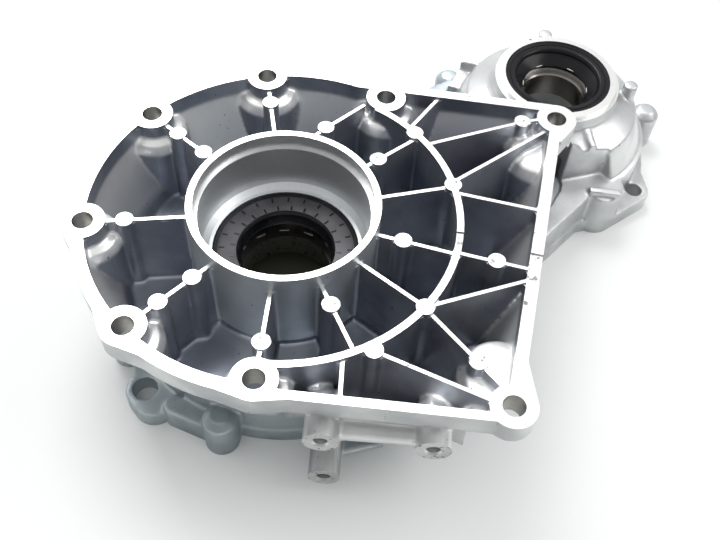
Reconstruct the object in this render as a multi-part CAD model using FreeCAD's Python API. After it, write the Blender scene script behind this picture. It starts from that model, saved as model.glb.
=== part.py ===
import FreeCAD, Part
import os
from math import acos, atan2, cos, degrees, hypot, radians, sin, sqrt

# Front differential housing: one die casting with a ribbed bell, a stepped hub and a gear casing
# under the bell, with two lip seals and a bush in its bores. Millimetres. The origin is on the
# input bore's axis in the machined bell flange face, +Z out of the bell mouth, +X towards the
# flat side of the flange, +Y towards the output bore.
Vector = FreeCAD.Vector
UP = Vector(0, 0, 1)
OVERLAP = 1.6

# Levels
HUB_RIM_Z = 7.0
FLANGE_THICKNESS = 14.0
BELL_DEPTH = 50.0
BELL_FLOOR = 6.0
BELL_ROOT_Z = -BELL_DEPTH - BELL_FLOOR / 2.0
JOINT_FACE_Z = -85.0
JOINT_THICKNESS = 10.0

# Bell flange, its reach past the bolt rows and the width of its machined band
FLANGE_OUTER_R = 108.0
BOLT_CIRCLE_R = FLANGE_OUTER_R - 6.0
ROUND_SIDE_ANGLES = (61.5, 102.0, 142.5, 189.5, 229.0)
FOOT_BOLT = (-2.7, 2.4 - BOLT_CIRCLE_R)
UPPER_CORNER_BOLT = (BOLT_CIRCLE_R + 44.7, BOLT_CIRCLE_R - 19.4)
LOWER_CORNER_BOLT = (BOLT_CIRCLE_R + 12.9, -BOLT_CIRCLE_R - 1.3)
BOLT_HOLE_R = 5.5
BOLT_BOSS_R = 11.3
ROUND_BAND = 6.5
TOP_REACH = 11.3
TOP_BAND = 5.8
SIDE_REACH = 3.3
SIDE_BAND = 6.3
FOOT_REACH = 8.5
FOOT_BAND = 4.6
FOOT_ENTRY = 4.0
FLANGE_CORNER_R = 8.0
MOUTH_CORNER_R = 6.0
BLEND_ANGLE = 9.0
FOOT_BLEND = 16.0
CORNER_BLEND = 24.0
CORNER_INNER_BLEND = 6.0
UPPER_BLEND = 16.0
UPPER_BLEND_R = 4.6
SIDE_BULGE = (BOLT_CIRCLE_R + 37.6, 48.5)
BELL_WALL = 3.6
BELL_TAPER = 0.4
TAPER_TOP_Z = -10.0

# Cast-down patches in the machined faces
PATCH_DEPTH = 0.9
SIDE_PATCH_Y = (-31.0, -13.5)
ARC_PATCH_ANGLES = (-10.5, -3.5)
SIDE_PATCH_REACH = (-5.0, 6.0)

# Bolt head reliefs under the flange and the domes that they raise inside the bell
RELIEF_R = 14.2
RELIEF_LOW_Z = -57.0
DOME_R = 18.2
DOME_TOP_DEPTH = 9.0
CORNER_DOME_R = 20.0
CORNER_RELIEF_R = 15.0
UPPER_DOME_SHIFT = (18.0, 243.0)
LOWER_DOME_SHIFT = (24.0, 99.5)

# Hub bores, from the rim down
HUB_R = 50.0
HUB_RIM_BORE_R = 46.6
HUB_RIM_BORE_DEPTH = 9.0
HUB_BEARING_R = 45.0
HUB_SHELF_Z = -32.0
HUB_SHELF_FILLET = 3.0
INPUT_SHAFT_BORE_R = 25.0
INPUT_WEB_TOP_Z = -54.0
INPUT_WEB_BOTTOM_Z = -69.0
INNER_SEAT_R = 40.0
INNER_SEAT_WALL = 7.0
INNER_SEAT_END_Z = -83.0

# Ribs and ejector pads of the bell
RIB_DROP = 1.4
RIB_TOP = 1.9
RIB_ROOT = 3.4
ARC_RIB_R = BOLT_CIRCLE_R - 12.5
ARC_RIB_WIDTH = 3.6
PAD_DROP = 0.7
PAD_R = 4.6
BOSS_SPOKE_PADS = ((81.0,), (81.0, 60.7), (81.3,), (81.8, 61.0))
FOOT_SPOKE = (268.6, (79.4,))
ARC_SPOKES = ((297.2, (62.6,)), (324.6, ()), (347.9, (63.4,)), (16.7, ()), (41.8, (62.4,)))
BENT_SPOKE_ANGLES = (85.5, 66.3)
BENT_SPOKE_PAD = (64.7, 75.5)

# Ribs outside the arc rib: their pads, and the angle where each rib starts with where it runs to
TOP_PAD = (BOLT_CIRCLE_R + 25.1, BOLT_CIRCLE_R - 22.6)
SIDE_PAD = (BOLT_CIRCLE_R + 7.5, -21.7)
LOW_PAD = (BOLT_CIRCLE_R - 2.7, 21.0 - BOLT_CIRCLE_R)
ARC_PAD_ANGLES = (43.7, 16.9, 324.2)
FOOT_ARC_PAD_ANGLE = 302.4
FOOT_ARC_SHIFT = 3.0
TOP_EDGE_RIB = (46.8, (79.4, 90.0))
SIDE_EDGE_RIBS = ((14.0, (130.0, 14.8)), (348.6, (124.0, -24.7)), (325.0, (123.0, -31.2)))
FOOT_EDGE_RIB = (293.5, (36.8, -103.0))
TOP_PAD_RIB = (37.6, 180.0)
UPPER_BOSS_RIB = (18.4, 236.0)
LOW_PAD_RIB = (324.2, 112.0)
LOWER_BOSS_RIB = (302.6, 164.0)

# Gear casing
OUTPUT_AXIS = (154.4, 136.5)
INPUT_JOINT_R = 89.0
OUTPUT_JOINT_R = 70.0
NARROW_JOINT_R = 60.0
JOINT_RIM = 5.5
SIDE_RIM = 1.0
CASING_WALL = 6.0
CASING_ROOF_Z = -54.0
CASING_ROOF = 6.0
JOINT_BOSS_R = 9.2
JOINT_BOSS_TOP_Z = -57.0
JOINT_BOSS_REACH = 5.0
JOINT_BOSS_CROWN = (0.45, 0.55)
HUB_SIDE_JOINT_ANGLES = (254.8, 207.0, 155.0)
OUTPUT_SIDE_JOINT_ANGLES = (18.0, 82.0, 146.0)
JOINT_SCREW_R = 3.4
JOINT_SCREW_DEPTH = 18.0
SHOULDER_TOP = (42.0, -27.0)
SHOULDER_KNEE = (54.0, -34.0)
SHOULDER_FOOT = (64.0, -60.0)
SHOULDER_WALL = 5.5
SHOULDER_COLLAR = 3.0
CAVITY_KNEE = (4.0, 6.0)
SHOULDER_RIB_ANGLES = (-64.0, 50.0)
SHOULDER_RIB = 4.0
SHOULDER_RIB_REACH = 50.0
SIDE_WALL_START = (UPPER_CORNER_BOLT[0] + 4.3, UPPER_CORNER_BOLT[1] - 0.2)
SIDE_WALL_END = (187.0, 94.8)
SIDE_WALL_TOP_Z = (-12.0, -30.0, -49.0)
SIDE_WALL_WIDTH = 3.6
SIDE_CUT_LEAD = (-20.0, -7.0)
SIDE_CUT_POINTS = ((80.0, -50.0), (110.0, -60.0), (110.0, -105.0))
LOBE_RIDGE = ((178.0, 77.0), (197.5, 76.0))
LOBE_RIDGE_Z = -50.0
DECK_ANGLES = (131.0, 163.0)
DECK_RADII = (44.0, 68.0)
DECK_Z = -47.0
DECK_RIDGE = 3.5
DECK_RIDGE_Z = -40.0
LOBE_R = 13.0
LOBE_ORBIT_R = 62.3
LOBE_ANGLE = -57.4
POST_ORBIT_R = 48.5
POST_ANGLES = (5.5, 93.5)
POST_R = 4.5
POST_TOP_Z = -21.0

# Output ring
RING_FACE_Z = -14.5
RING_R = 38.5
RING_STEP_R = 36.5
RING_STEP = 2.5
OUTPUT_SHELF_Z = -28.0
DIFF_SEAT_R = 36.0
DIFF_SEAT_TOP_Z = -47.0
DIFF_SEAT_WALL = 6.0
DIFF_SEAT_END_Z = -72.0
DIFF_SEAT_DROP = 8.0

# Ribs between the bearing seats and the casing wall on the gear side
CAVITY_RIB_DEPTH = 12.0
CAVITY_RIB_LAP = 2.0
INNER_SEAT_RIB_ANGLES = (110.0, 180.0, 250.0, 320.0)
DIFF_SEAT_RIB_ANGLES = (285.0, 345.0, 45.0, 105.0)
DIFF_RIB_RISE = 4.0
TIE_WALL_ENDS = (46.0, 40.0)
TIE_WALL_ANGLE = 41.5
TIE_WALL_WIDTH = 5.0
TIE_WALL_DEPTH = 10.0

# Seals and bush
SEAL_RECESS = 1.0
INPUT_SEAL_R = 40.0
INPUT_LIP_R = 24.5
INPUT_DUST_R = 25.6
OUTPUT_SEAL_R = 32.5
OUTPUT_LIP_R = 19.5
OUTPUT_DUST_R = 25.2
SEAL_WIDTH = 12.0
SEAL_CASE = 2.8
DUST_BEVEL = 1.4
DUST_DEPTH = 2.0
SPRING_SEAT = 1.9
SPRING_SHARE = 0.7
SPRING_WIRE_R = 0.8
LIP_TOE = 1.2
BUSH_R = 22.5
BUSH_BORE_R = 19.3
BUSH_TOP_Z = -30.5
BUSH_LENGTH = 16.0
BUSH_CHAMFER = 0.9
BUSH_OUTER_CHAMFER = 0.4

# Threaded bosses on the foot side
SIDE_BOSS_R = 8.6
SIDE_BOSS_FACE_Y = -14.5 - BOLT_CIRCLE_R
SIDE_BOSS_INNER_Y = 9.0 - BOLT_CIRCLE_R
SIDE_BOSS_Z = -25.0
SIDE_BOSS_X = (29.0, 81.5)
SIDE_WEB = 5.0
SIDE_WEB_SETBACK = 2.5
SIDE_WEB_DEPTH = 10.0
LOW_BOSS = (31.0, -65.0)
LOW_BOSS_R = 8.0
LOW_BOSS_INNER_Y = 10.0 - INPUT_JOINT_R
GUSSET_PLAN = ((LOW_BOSS[0], -106.0), (41.0, -101.5), (60.0, -95.0), (68.0, -60.0), (LOW_BOSS[0], -75.0))
GUSSET_Z = (LOW_BOSS[1] - 7.0, LOW_BOSS[1] - 2.0)
BOSS_HOLE_R = 3.4
BOSS_HOLE_DEPTH = 20.0
BOSS_CHAMFER = 1.0

# Ears of the casing joint
LEFT_EAR = (-69.0, -70.0)
LEFT_EAR_TOE = (-63.5, -74.5)
LEFT_EAR_R = 10.5
LEFT_EAR_TOE_R = 11.5
LEFT_EAR_HOLE_R = 6.5
RIGHT_EAR_ORBIT_R = 70.0
RIGHT_EAR_ANGLE = -30.5
RIGHT_EAR_R = 9.8
RIGHT_EAR_HOLE_R = 5.0
RIGHT_WEB_ORBIT_R = 50.0
RIGHT_WEB_R = 14.0
EAR_THICKNESS = 11.0
LEFT_EAR_HEEL = (-73.0, -56.0)
LEFT_WEB = (-51.0, -80.5)
LEFT_WEB_R = 5.5
LEFT_WEB_Z = -69.0


def at(point, z=0.0):
    """A plan point lifted to a height."""
    return Vector(point[0], point[1], z)


def polar(radius, angle, centre=(0.0, 0.0)):
    """The plan point at a radius and an angle in degrees from a centre."""
    return (centre[0] + radius * cos(radians(angle)), centre[1] + radius * sin(radians(angle)))


def towards(start, end, length):
    """The plan point at a distance from one point on the way to another."""
    share = length / hypot(end[0] - start[0], end[1] - start[1])
    return (start[0] + (end[0] - start[0]) * share, start[1] + (end[1] - start[1]) * share)


def cylinder(centre, radius, z_low, z_high):
    """A round post between two heights."""
    return Part.makeCylinder(radius, z_high - z_low, at(centre, z_low))


def taper(centre, low_radius, high_radius, z_low, z_high):
    """A drafted round post between two heights."""
    return Part.makeCone(low_radius, high_radius, z_high - z_low, at(centre, z_low))


def prism(face, z_low, z_high):
    """A plan face at height zero extruded between two heights."""
    body = face.extrude(Vector(0, 0, z_high - z_low))
    body.translate(Vector(0, 0, z_low))
    return body


def polygon(points, z=0.0):
    """A flat face through plan points."""
    corners = [at(p, z) for p in points]
    return Part.Face(Part.makePolygon(corners + corners[:1]))


def turned(profile, centre=(0.0, 0.0), start=0.0, sweep=360.0):
    """A solid turned about a vertical axis from (radius, height) points."""
    points = [Vector(r * cos(radians(start)), r * sin(radians(start)), z) for r, z in profile]
    body = Part.Face(Part.makePolygon(points + points[:1])).revolve(Vector(0, 0, 0), UP, sweep)
    body.translate(at(centre))
    return body


def fuse(shapes):
    """One shape from a list of overlapping shapes, with its split faces merged."""
    return shapes[0].multiFuse(shapes[1:]).removeSplitter()


def belt_side(first, first_r, second, second_r, side):
    """The two ends of a straight belt run round two circles: side 1 is left of the way, -1 right."""
    run = degrees(atan2(second[1] - first[1], second[0] - first[0]))
    turn = degrees(acos((first_r - second_r) / hypot(second[0] - first[0], second[1] - first[1])))
    return polar(first_r, run + side * turn, first), polar(second_r, run + side * turn, second)


def round_hull(first, first_r, second, second_r):
    """The plan face that a belt round two circles encloses."""
    run = degrees(atan2(second[1] - first[1], second[0] - first[0]))
    a1, b1 = belt_side(first, first_r, second, second_r, 1)
    a2, b2 = belt_side(first, first_r, second, second_r, -1)
    back, front = polar(first_r, run + 180.0, first), polar(second_r, run, second)
    edges = [
        Part.Arc(at(a1), at(back), at(a2)).toShape(),
        Part.makeLine(at(a2), at(b2)),
        Part.Arc(at(b2), at(front), at(b1)).toShape(),
        Part.makeLine(at(b1), at(a1)),
    ]
    return Part.Face(Part.Wire(edges))


class Row:
    """A straight flange side beside two bolts, taken anticlockwise round the flange."""

    def __init__(self, start, end, reach):
        length = hypot(end[0] - start[0], end[1] - start[1])
        self.nx = (end[1] - start[1]) / length
        self.ny = (start[0] - end[0]) / length
        self.d = start[0] * self.nx + start[1] * self.ny + reach

    def meet(self, other):
        """The plan point shared with another row."""
        det = self.nx * other.ny - self.ny * other.nx
        x = (self.d * other.ny - self.ny * other.d) / det
        return (x, (self.nx * other.d - self.d * other.nx) / det)

    def beside(self, point):
        """The point of the row nearest to a plan point."""
        gap = self.d - point[0] * self.nx - point[1] * self.ny
        return (point[0] + gap * self.nx, point[1] + gap * self.ny)

    def entry(self, radius):
        """Where the row, going anticlockwise, runs into a circle about the hub."""
        half = sqrt(max(radius * radius - self.d * self.d, 0.0))
        return (self.d * self.nx + half * self.ny, self.d * self.ny - half * self.nx)


def corner(before, point, after, radius):
    """The first, middle and last points of the arc that rounds a corner."""
    ux, uy = before[0] - point[0], before[1] - point[1]
    vx, vy = after[0] - point[0], after[1] - point[1]
    lu, lv = hypot(ux, uy), hypot(vx, vy)
    ux, uy, vx, vy = ux / lu, uy / lu, vx / lv, vy / lv
    half = acos(ux * vx + uy * vy) / 2.0
    back = radius * cos(half) / sin(half)
    middle = (radius / sin(half) - radius) / hypot(ux + vx, uy + vy)
    first = (point[0] + ux * back, point[1] + uy * back)
    last = (point[0] + vx * back, point[1] + vy * back)
    return first, (point[0] + (ux + vx) * middle, point[1] + (uy + vy) * middle), last


def flange_wire(round_r, top, side, foot, corner_r, z):
    """The D outline: a round side about the hub and a straight row beside each bolt row."""
    top_row = Row(UPPER_CORNER_BOLT, polar(BOLT_CIRCLE_R, ROUND_SIDE_ANGLES[0]), top)
    side_row = Row(LOWER_CORNER_BOLT, UPPER_CORNER_BOLT, side)
    foot_row = Row(FOOT_BOLT, LOWER_CORNER_BOLT, foot)
    foot_angle = degrees(atan2(FOOT_BOLT[1], FOOT_BOLT[0])) % 360.0 - FOOT_ENTRY
    arc_start = top_row.entry(round_r)
    start_angle = degrees(atan2(arc_start[1], arc_start[0]))
    arc_end = polar(round_r, foot_angle)
    arc_middle = polar(round_r, (start_angle + foot_angle) / 2.0)
    foot_start = foot_row.beside(FOOT_BOLT)
    lower = corner(foot_start, foot_row.meet(side_row), side_row.beside(UPPER_CORNER_BOLT), corner_r)
    upper = corner(side_row.beside(LOWER_CORNER_BOLT), side_row.meet(top_row), arc_start, corner_r)
    edges = [
        Part.Arc(at(arc_start, z), at(arc_middle, z), at(arc_end, z)).toShape(),
        Part.makeLine(at(arc_end, z), at(foot_start, z)),
        Part.makeLine(at(foot_start, z), at(lower[0], z)),
        Part.Arc(*(at(p, z) for p in lower)).toShape(),
        Part.makeLine(at(lower[2], z), at(upper[0], z)),
        Part.Arc(*(at(p, z) for p in upper)).toShape(),
        Part.makeLine(at(upper[2], z), at(arc_start, z)),
    ]
    return Part.Wire(edges)


def flange_edge(z):
    """The outer edge of the bell flange."""
    return flange_wire(FLANGE_OUTER_R, TOP_REACH, SIDE_REACH, FOOT_REACH, FLANGE_CORNER_R, z)


def mouth_edge(z):
    """The edge of the bell mouth."""
    round_r = FLANGE_OUTER_R - ROUND_BAND
    side = SIDE_REACH - SIDE_BAND
    return flange_wire(round_r, TOP_REACH - TOP_BAND, side, FOOT_REACH - FOOT_BAND, MOUTH_CORNER_R, z)


def bell_corners(grow):
    """The corners of the bell's straight-sided part, moved outwards by a distance."""
    top = Row(UPPER_CORNER_BOLT, polar(BOLT_CIRCLE_R, ROUND_SIDE_ANGLES[0]), TOP_REACH - TOP_BAND + grow)
    side = Row(LOWER_CORNER_BOLT, UPPER_CORNER_BOLT, SIDE_REACH - SIDE_BAND + grow)
    foot = Row(FOOT_BOLT, LOWER_CORNER_BOLT, FOOT_REACH - FOOT_BAND + grow)
    start = top.entry(FLANGE_OUTER_R - ROUND_BAND + grow)
    return [start, foot.beside(FOOT_BOLT), foot.meet(side), side.meet(top)]


def frustum(high, z_high, low, z_low):
    """A flat-sided solid between two outlines with the same number of corners."""
    faces = [polygon(high, z_high), polygon(low, z_low)]
    for k in range(len(high)):
        n = (k + 1) % len(high)
        first, second = at(high[k], z_high), at(high[n], z_high)
        third, fourth = at(low[n], z_low), at(low[k], z_low)
        for corners in ([first, second, third], [first, third, fourth]):
            faces.append(Part.Face(Part.makePolygon(corners + corners[:1])))
    return Part.Solid(Part.Shell(faces)).removeSplitter()


def tapered_bell(grow, z_high, z_low):
    """The bell's tapering body, moved outwards by a distance."""
    high = grow - BELL_TAPER * (TAPER_TOP_Z - z_high)
    low = grow - BELL_TAPER * (TAPER_TOP_Z - z_low)
    mouth_r = FLANGE_OUTER_R - ROUND_BAND
    round_part = taper((0.0, 0.0), mouth_r + low, mouth_r + high, z_low, z_high)
    return round_part.fuse(frustum(bell_corners(high), z_high, bell_corners(low), z_low))


def round_bolts():
    """The bolt centres on the flange's round side, with the foot bolt last."""
    return [polar(BOLT_CIRCLE_R, angle) for angle in ROUND_SIDE_ANGLES] + [FOOT_BOLT]


def bell_bolts():
    """Every bolt centre of the bell flange."""
    return round_bolts() + [LOWER_CORNER_BOLT, UPPER_CORNER_BOLT]


def boss_blend(bolt, rim_point, rim_r, side):
    """The straight shoulder that leads the flange's edge into a bolt boss."""
    boss_end, rim_end = belt_side(bolt, BOLT_BOSS_R, rim_point, rim_r, side)
    return prism(polygon([bolt, boss_end, rim_end, rim_point]), -FLANGE_THICKNESS, 0.0)


def boss_blends():
    """The bolt bosses of the flange with their shoulders."""
    shapes = [cylinder(bolt, BOLT_BOSS_R, -FLANGE_THICKNESS, 0.0) for bolt in bell_bolts()]
    rim = FLANGE_OUTER_R - BOLT_CIRCLE_R
    for angle in ROUND_SIDE_ANGLES[1:]:
        bolt = polar(BOLT_CIRCLE_R, angle)
        for side in (-1, 1):
            shapes.append(boss_blend(bolt, polar(BOLT_CIRCLE_R, angle + side * BLEND_ANGLE), rim, -side))
    foot_angle = degrees(atan2(FOOT_BOLT[1], FOOT_BOLT[0])) - BLEND_ANGLE
    shapes.append(boss_blend(FOOT_BOLT, polar(BOLT_CIRCLE_R, foot_angle), rim, 1))
    for bolt, other, length, outer_r, side in (
        (FOOT_BOLT, LOWER_CORNER_BOLT, FOOT_BLEND, FOOT_REACH, -1),
        (LOWER_CORNER_BOLT, UPPER_CORNER_BOLT, CORNER_BLEND, SIDE_REACH, -1),
        (LOWER_CORNER_BOLT, UPPER_CORNER_BOLT, CORNER_BLEND, CORNER_INNER_BLEND, 1),
        (UPPER_CORNER_BOLT, LOWER_CORNER_BOLT, UPPER_BLEND, UPPER_BLEND_R, 1),
    ):
        shapes.append(boss_blend(bolt, towards(bolt, other, length), outer_r, side))
    return shapes + [cylinder(SIDE_BULGE, PAD_R, -FLANGE_THICKNESS, 0.0)]


def flange_plate():
    """The machined flange with its boss shoulders, still closed."""
    return fuse([prism(Part.Face(flange_edge(0.0)), -FLANGE_THICKNESS, 0.0)] + boss_blends())


def dome_profile(radius):
    """Half section of a bolt boss that swells into a dome round its bolt head relief."""
    knee = radius - BOLT_BOSS_R
    points = [(0.0, BELL_ROOT_Z), (radius, BELL_ROOT_Z)]
    for turn in (0.0, 50.0):
        r = BOLT_BOSS_R + knee * cos(radians(turn))
        points.append((r, -DOME_TOP_DEPTH - knee * (1.0 - sin(radians(turn)))))
    return points + [(BOLT_BOSS_R, -DOME_TOP_DEPTH), (BOLT_BOSS_R, 0.0), (0.0, 0.0)]


def stretched_dome(bolt, shift):
    """A dome drawn out from a corner bolt, as two turned ends and the length between them."""
    far = polar(shift[0], shift[1], bolt)
    profile = dome_profile(CORNER_DOME_R)
    crown = [(r, z) for r, z in profile if r > 0.0][:-1]
    across = Vector(-sin(radians(shift[1])), cos(radians(shift[1])), 0)
    right = [at(bolt, z) + across * r for r, z in crown]
    left = [at(bolt, z) - across * r for r, z in reversed(crown)]
    face = Part.Face(Part.makePolygon(right + left + right[:1]))
    far_end = turned([(0.0, BELL_ROOT_Z)] + crown + [(0.0, -DOME_TOP_DEPTH)], far)
    return [turned(profile, bolt), far_end, face.extrude(at(far) - at(bolt))]


def bell_domes():
    """The bolt bosses with their domes."""
    domes = [turned(dome_profile(DOME_R), bolt) for bolt in round_bolts()]
    domes += stretched_dome(UPPER_CORNER_BOLT, UPPER_DOME_SHIFT)
    domes += stretched_dome(LOWER_CORNER_BOLT, LOWER_DOME_SHIFT)
    return fuse(domes)


def rib(start, end, top_z=-RIB_DROP):
    """A drafted wall between two plan points, from the bell floor up."""
    length = hypot(end[0] - start[0], end[1] - start[1])
    across = Vector(-(end[1] - start[1]) / length, (end[0] - start[0]) / length, 0)
    low, high = at(start, BELL_ROOT_Z), at(start, top_z)
    root, crest = across * (RIB_ROOT / 2.0), across * (RIB_TOP / 2.0)
    corners = [low - root, low + root, high + crest, high - crest]
    return Part.Face(Part.makePolygon(corners + corners[:1])).extrude(at(end) - at(start))


def pad(centre, top_z=-PAD_DROP):
    """A round ejector pad that stands up from the bell floor."""
    return cylinder(centre, PAD_R, BELL_ROOT_Z, top_z)


def spoke(angle, outer_r, pad_radii):
    """A radial rib out of the hub with its ejector pads."""
    inner = HUB_R - OVERLAP
    return [rib(polar(inner, angle), polar(outer_r, angle))] + [pad(polar(r, angle)) for r in pad_radii]


def spokes():
    """The ribs between the hub and the flange bosses or the arc rib."""
    boss_r = BOLT_CIRCLE_R - BOLT_BOSS_R + OVERLAP
    arc_r = ARC_RIB_R + ARC_RIB_WIDTH / 2.0
    shapes = []
    for angle, pad_radii in zip(ROUND_SIDE_ANGLES[1:], BOSS_SPOKE_PADS):
        shapes += spoke(angle, boss_r, pad_radii)
    shapes += spoke(FOOT_SPOKE[0], boss_r, FOOT_SPOKE[1])
    for angle, pad_radii in ARC_SPOKES:
        shapes += spoke(angle, arc_r, pad_radii)
    first, last = BENT_SPOKE_ANGLES
    bend = polar(BENT_SPOKE_PAD[0], BENT_SPOKE_PAD[1])
    return shapes + [rib(polar(HUB_R - OVERLAP, first), bend), rib(bend, polar(arc_r, last)), pad(bend)]


def arc_rib():
    """The machined rib that carries the round side's circle on across the bell."""
    outer = ARC_RIB_R + ARC_RIB_WIDTH
    profile = [(ARC_RIB_R, 0.0), (outer, 0.0), (outer, BELL_ROOT_Z), (ARC_RIB_R, BELL_ROOT_Z)]
    start = degrees(atan2(FOOT_BOLT[1], FOOT_BOLT[0]))
    return turned(profile, (0.0, 0.0), start, ROUND_SIDE_ANGLES[0] - start)


def outer_ribs():
    """The ribs and pads between the arc rib and the flat sides of the flange."""
    mid = ARC_RIB_R + ARC_RIB_WIDTH / 2.0
    near_r = BOLT_BOSS_R - OVERLAP
    top_bolt = polar(BOLT_CIRCLE_R, ROUND_SIDE_ANGLES[0])
    top = Row(UPPER_CORNER_BOLT, top_bolt, TOP_REACH - TOP_BAND + OVERLAP)
    side = Row(LOWER_CORNER_BOLT, UPPER_CORNER_BOLT, SIDE_REACH - SIDE_BAND + OVERLAP)
    foot = Row(FOOT_BOLT, LOWER_CORNER_BOLT, FOOT_REACH - FOOT_BAND + OVERLAP)
    shapes = [rib(polar(mid, TOP_EDGE_RIB[0]), top.beside(TOP_EDGE_RIB[1]))]
    shapes += [rib(polar(mid, angle), side.beside(end)) for angle, end in SIDE_EDGE_RIBS]
    shapes.append(rib(polar(mid, FOOT_EDGE_RIB[0]), foot.beside(FOOT_EDGE_RIB[1])))
    shapes.append(rib(polar(mid, TOP_PAD_RIB[0]), TOP_PAD))
    shapes.append(rib(TOP_PAD, polar(near_r, TOP_PAD_RIB[1], UPPER_CORNER_BOLT)))
    end = polar(near_r, UPPER_BOSS_RIB[1], UPPER_CORNER_BOLT)
    shapes.append(rib(polar(mid, UPPER_BOSS_RIB[0]), end))
    shapes.append(rib(polar(mid, LOW_PAD_RIB[0]), LOW_PAD))
    shapes.append(rib(LOW_PAD, polar(near_r, LOW_PAD_RIB[1], LOWER_CORNER_BOLT)))
    start = polar(mid + FOOT_ARC_SHIFT, LOWER_BOSS_RIB[0])
    shapes.append(rib(start, polar(near_r, LOWER_BOSS_RIB[1], LOWER_CORNER_BOLT)))
    shapes += [pad(centre) for centre in (TOP_PAD, SIDE_PAD, LOW_PAD)]
    shapes += [pad(polar(mid, angle), 0.0) for angle in ARC_PAD_ANGLES]
    shapes.append(pad(polar(mid + FOOT_ARC_SHIFT, FOOT_ARC_PAD_ANGLE), 0.0))
    return shapes


def hub():
    """The hub above the bell floor and the bearing seat below it, still closed."""
    seat_r = INNER_SEAT_R + INNER_SEAT_WALL
    profile = [
        (0.0, HUB_RIM_Z),
        (HUB_R, HUB_RIM_Z),
        (HUB_R, BELL_ROOT_Z),
        (seat_r, BELL_ROOT_Z),
        (seat_r, INNER_SEAT_END_Z),
        (0.0, INNER_SEAT_END_Z),
    ]
    return turned(profile)


def input_bores():
    """Everything machined out of the hub along the input axis."""
    ledge_z = HUB_RIM_Z - HUB_RIM_BORE_DEPTH
    profile = [
        (0.0, HUB_RIM_Z + OVERLAP),
        (HUB_RIM_BORE_R, HUB_RIM_Z + OVERLAP),
        (HUB_RIM_BORE_R, ledge_z),
        (HUB_BEARING_R, ledge_z),
        (HUB_BEARING_R, HUB_SHELF_Z + HUB_SHELF_FILLET),
        (HUB_BEARING_R - HUB_SHELF_FILLET, HUB_SHELF_Z),
        (INPUT_SEAL_R, HUB_SHELF_Z),
        (INPUT_SEAL_R, INPUT_WEB_TOP_Z),
        (INPUT_SHAFT_BORE_R, INPUT_WEB_TOP_Z),
        (INPUT_SHAFT_BORE_R, INPUT_WEB_BOTTOM_Z),
        (INNER_SEAT_R, INPUT_WEB_BOTTOM_Z),
        (INNER_SEAT_R, INNER_SEAT_END_Z - OVERLAP),
        (0.0, INNER_SEAT_END_Z - OVERLAP),
    ]
    return turned(profile)


def joint_bosses():
    """Plan centres of the screw bosses round the casing joint."""
    hub_r, output_r = INPUT_JOINT_R + JOINT_BOSS_REACH, OUTPUT_JOINT_R + JOINT_BOSS_REACH
    centres = [polar(hub_r, angle) for angle in HUB_SIDE_JOINT_ANGLES]
    centres += [polar(output_r, angle, OUTPUT_AXIS) for angle in OUTPUT_SIDE_JOINT_ANGLES]
    return centres


def far_half(z_low, z_high):
    """The space on the side of the shafts' centre line that lies away from the bell's flat side."""
    run = degrees(atan2(OUTPUT_AXIS[1], OUTPUT_AXIS[0]))
    reach = 3.0 * INPUT_JOINT_R
    start, end = polar(-reach, run), polar(reach, run, OUTPUT_AXIS)
    plan = [start, end, polar(reach, run + 90.0, end), polar(reach, run + 90.0, start)]
    return prism(polygon(plan), z_low, z_high)


def casing_prism(rim, side_rim, z_low, z_high):
    """The casing's outline as an upright body, moved inwards by a distance for each side."""
    lobe = polar(LOBE_ORBIT_R, LOBE_ANGLE, OUTPUT_AXIS)
    hub_axis = (0.0, 0.0)
    narrow = round_hull(hub_axis, INPUT_JOINT_R - side_rim, OUTPUT_AXIS, NARROW_JOINT_R - side_rim)
    wide = round_hull(hub_axis, INPUT_JOINT_R - rim, OUTPUT_AXIS, OUTPUT_JOINT_R - rim)
    corner_hull = round_hull(lobe, LOBE_R - side_rim, OUTPUT_AXIS, NARROW_JOINT_R - side_rim - LOBE_R)
    return fuse([
        prism(narrow, z_low, z_high),
        prism(wide, z_low, z_high).common(far_half(z_low, z_high)),
        cylinder(OUTPUT_AXIS, OUTPUT_JOINT_R - rim, z_low, z_high),
        prism(corner_hull, z_low, z_high),
    ])


def beside_side_wall(inset):
    """The space outside the shoulder's flat side wall, its edge moved inwards by a distance."""
    start, end = SIDE_WALL_START, SIDE_WALL_END
    length = hypot(end[0] - start[0], end[1] - start[1])
    nx, ny = (start[1] - end[1]) / length * inset, (end[0] - start[0]) / length * inset
    plan = [
        (start[0] + SIDE_CUT_LEAD[0] + nx, start[1] + SIDE_CUT_LEAD[1] + ny),
        (end[0] + nx, end[1] + ny),
    ]
    plan += [polar(radius, angle, OUTPUT_AXIS) for radius, angle in SIDE_CUT_POINTS]
    return prism(polygon(plan), CASING_ROOF_Z, RING_FACE_Z + OVERLAP)


def side_wall():
    """The flat web between the bell's corner boss and the casing roof, with a falling top edge."""
    start, end = SIDE_WALL_START, SIDE_WALL_END
    middle = ((start[0] + end[0]) / 2.0, (start[1] + end[1]) / 2.0)
    low = CASING_ROOF_Z - OVERLAP
    corners = [at(start, low), at(end, low)]
    corners += [at(p, z) for p, z in zip((end, middle, start), reversed(SIDE_WALL_TOP_Z))]
    length = hypot(end[0] - start[0], end[1] - start[1])
    across = Vector(start[1] - end[1], end[0] - start[0], 0) * (SIDE_WALL_WIDTH / length)
    return Part.Face(Part.makePolygon(corners + corners[:1])).extrude(across)


def corner_lobe():
    """The round lobe of the casing wall beside the right ear, with the ridge along its top."""
    centre = polar(LOBE_ORBIT_R, LOBE_ANGLE, OUTPUT_AXIS)
    lobe = cylinder(centre, LOBE_R, JOINT_FACE_Z, CASING_ROOF_Z)
    start, end = LOBE_RIDGE
    return [lobe, wall(start, end, RIB_ROOT + OVERLAP, CASING_ROOF_Z - OVERLAP, LOBE_RIDGE_Z)]


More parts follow.
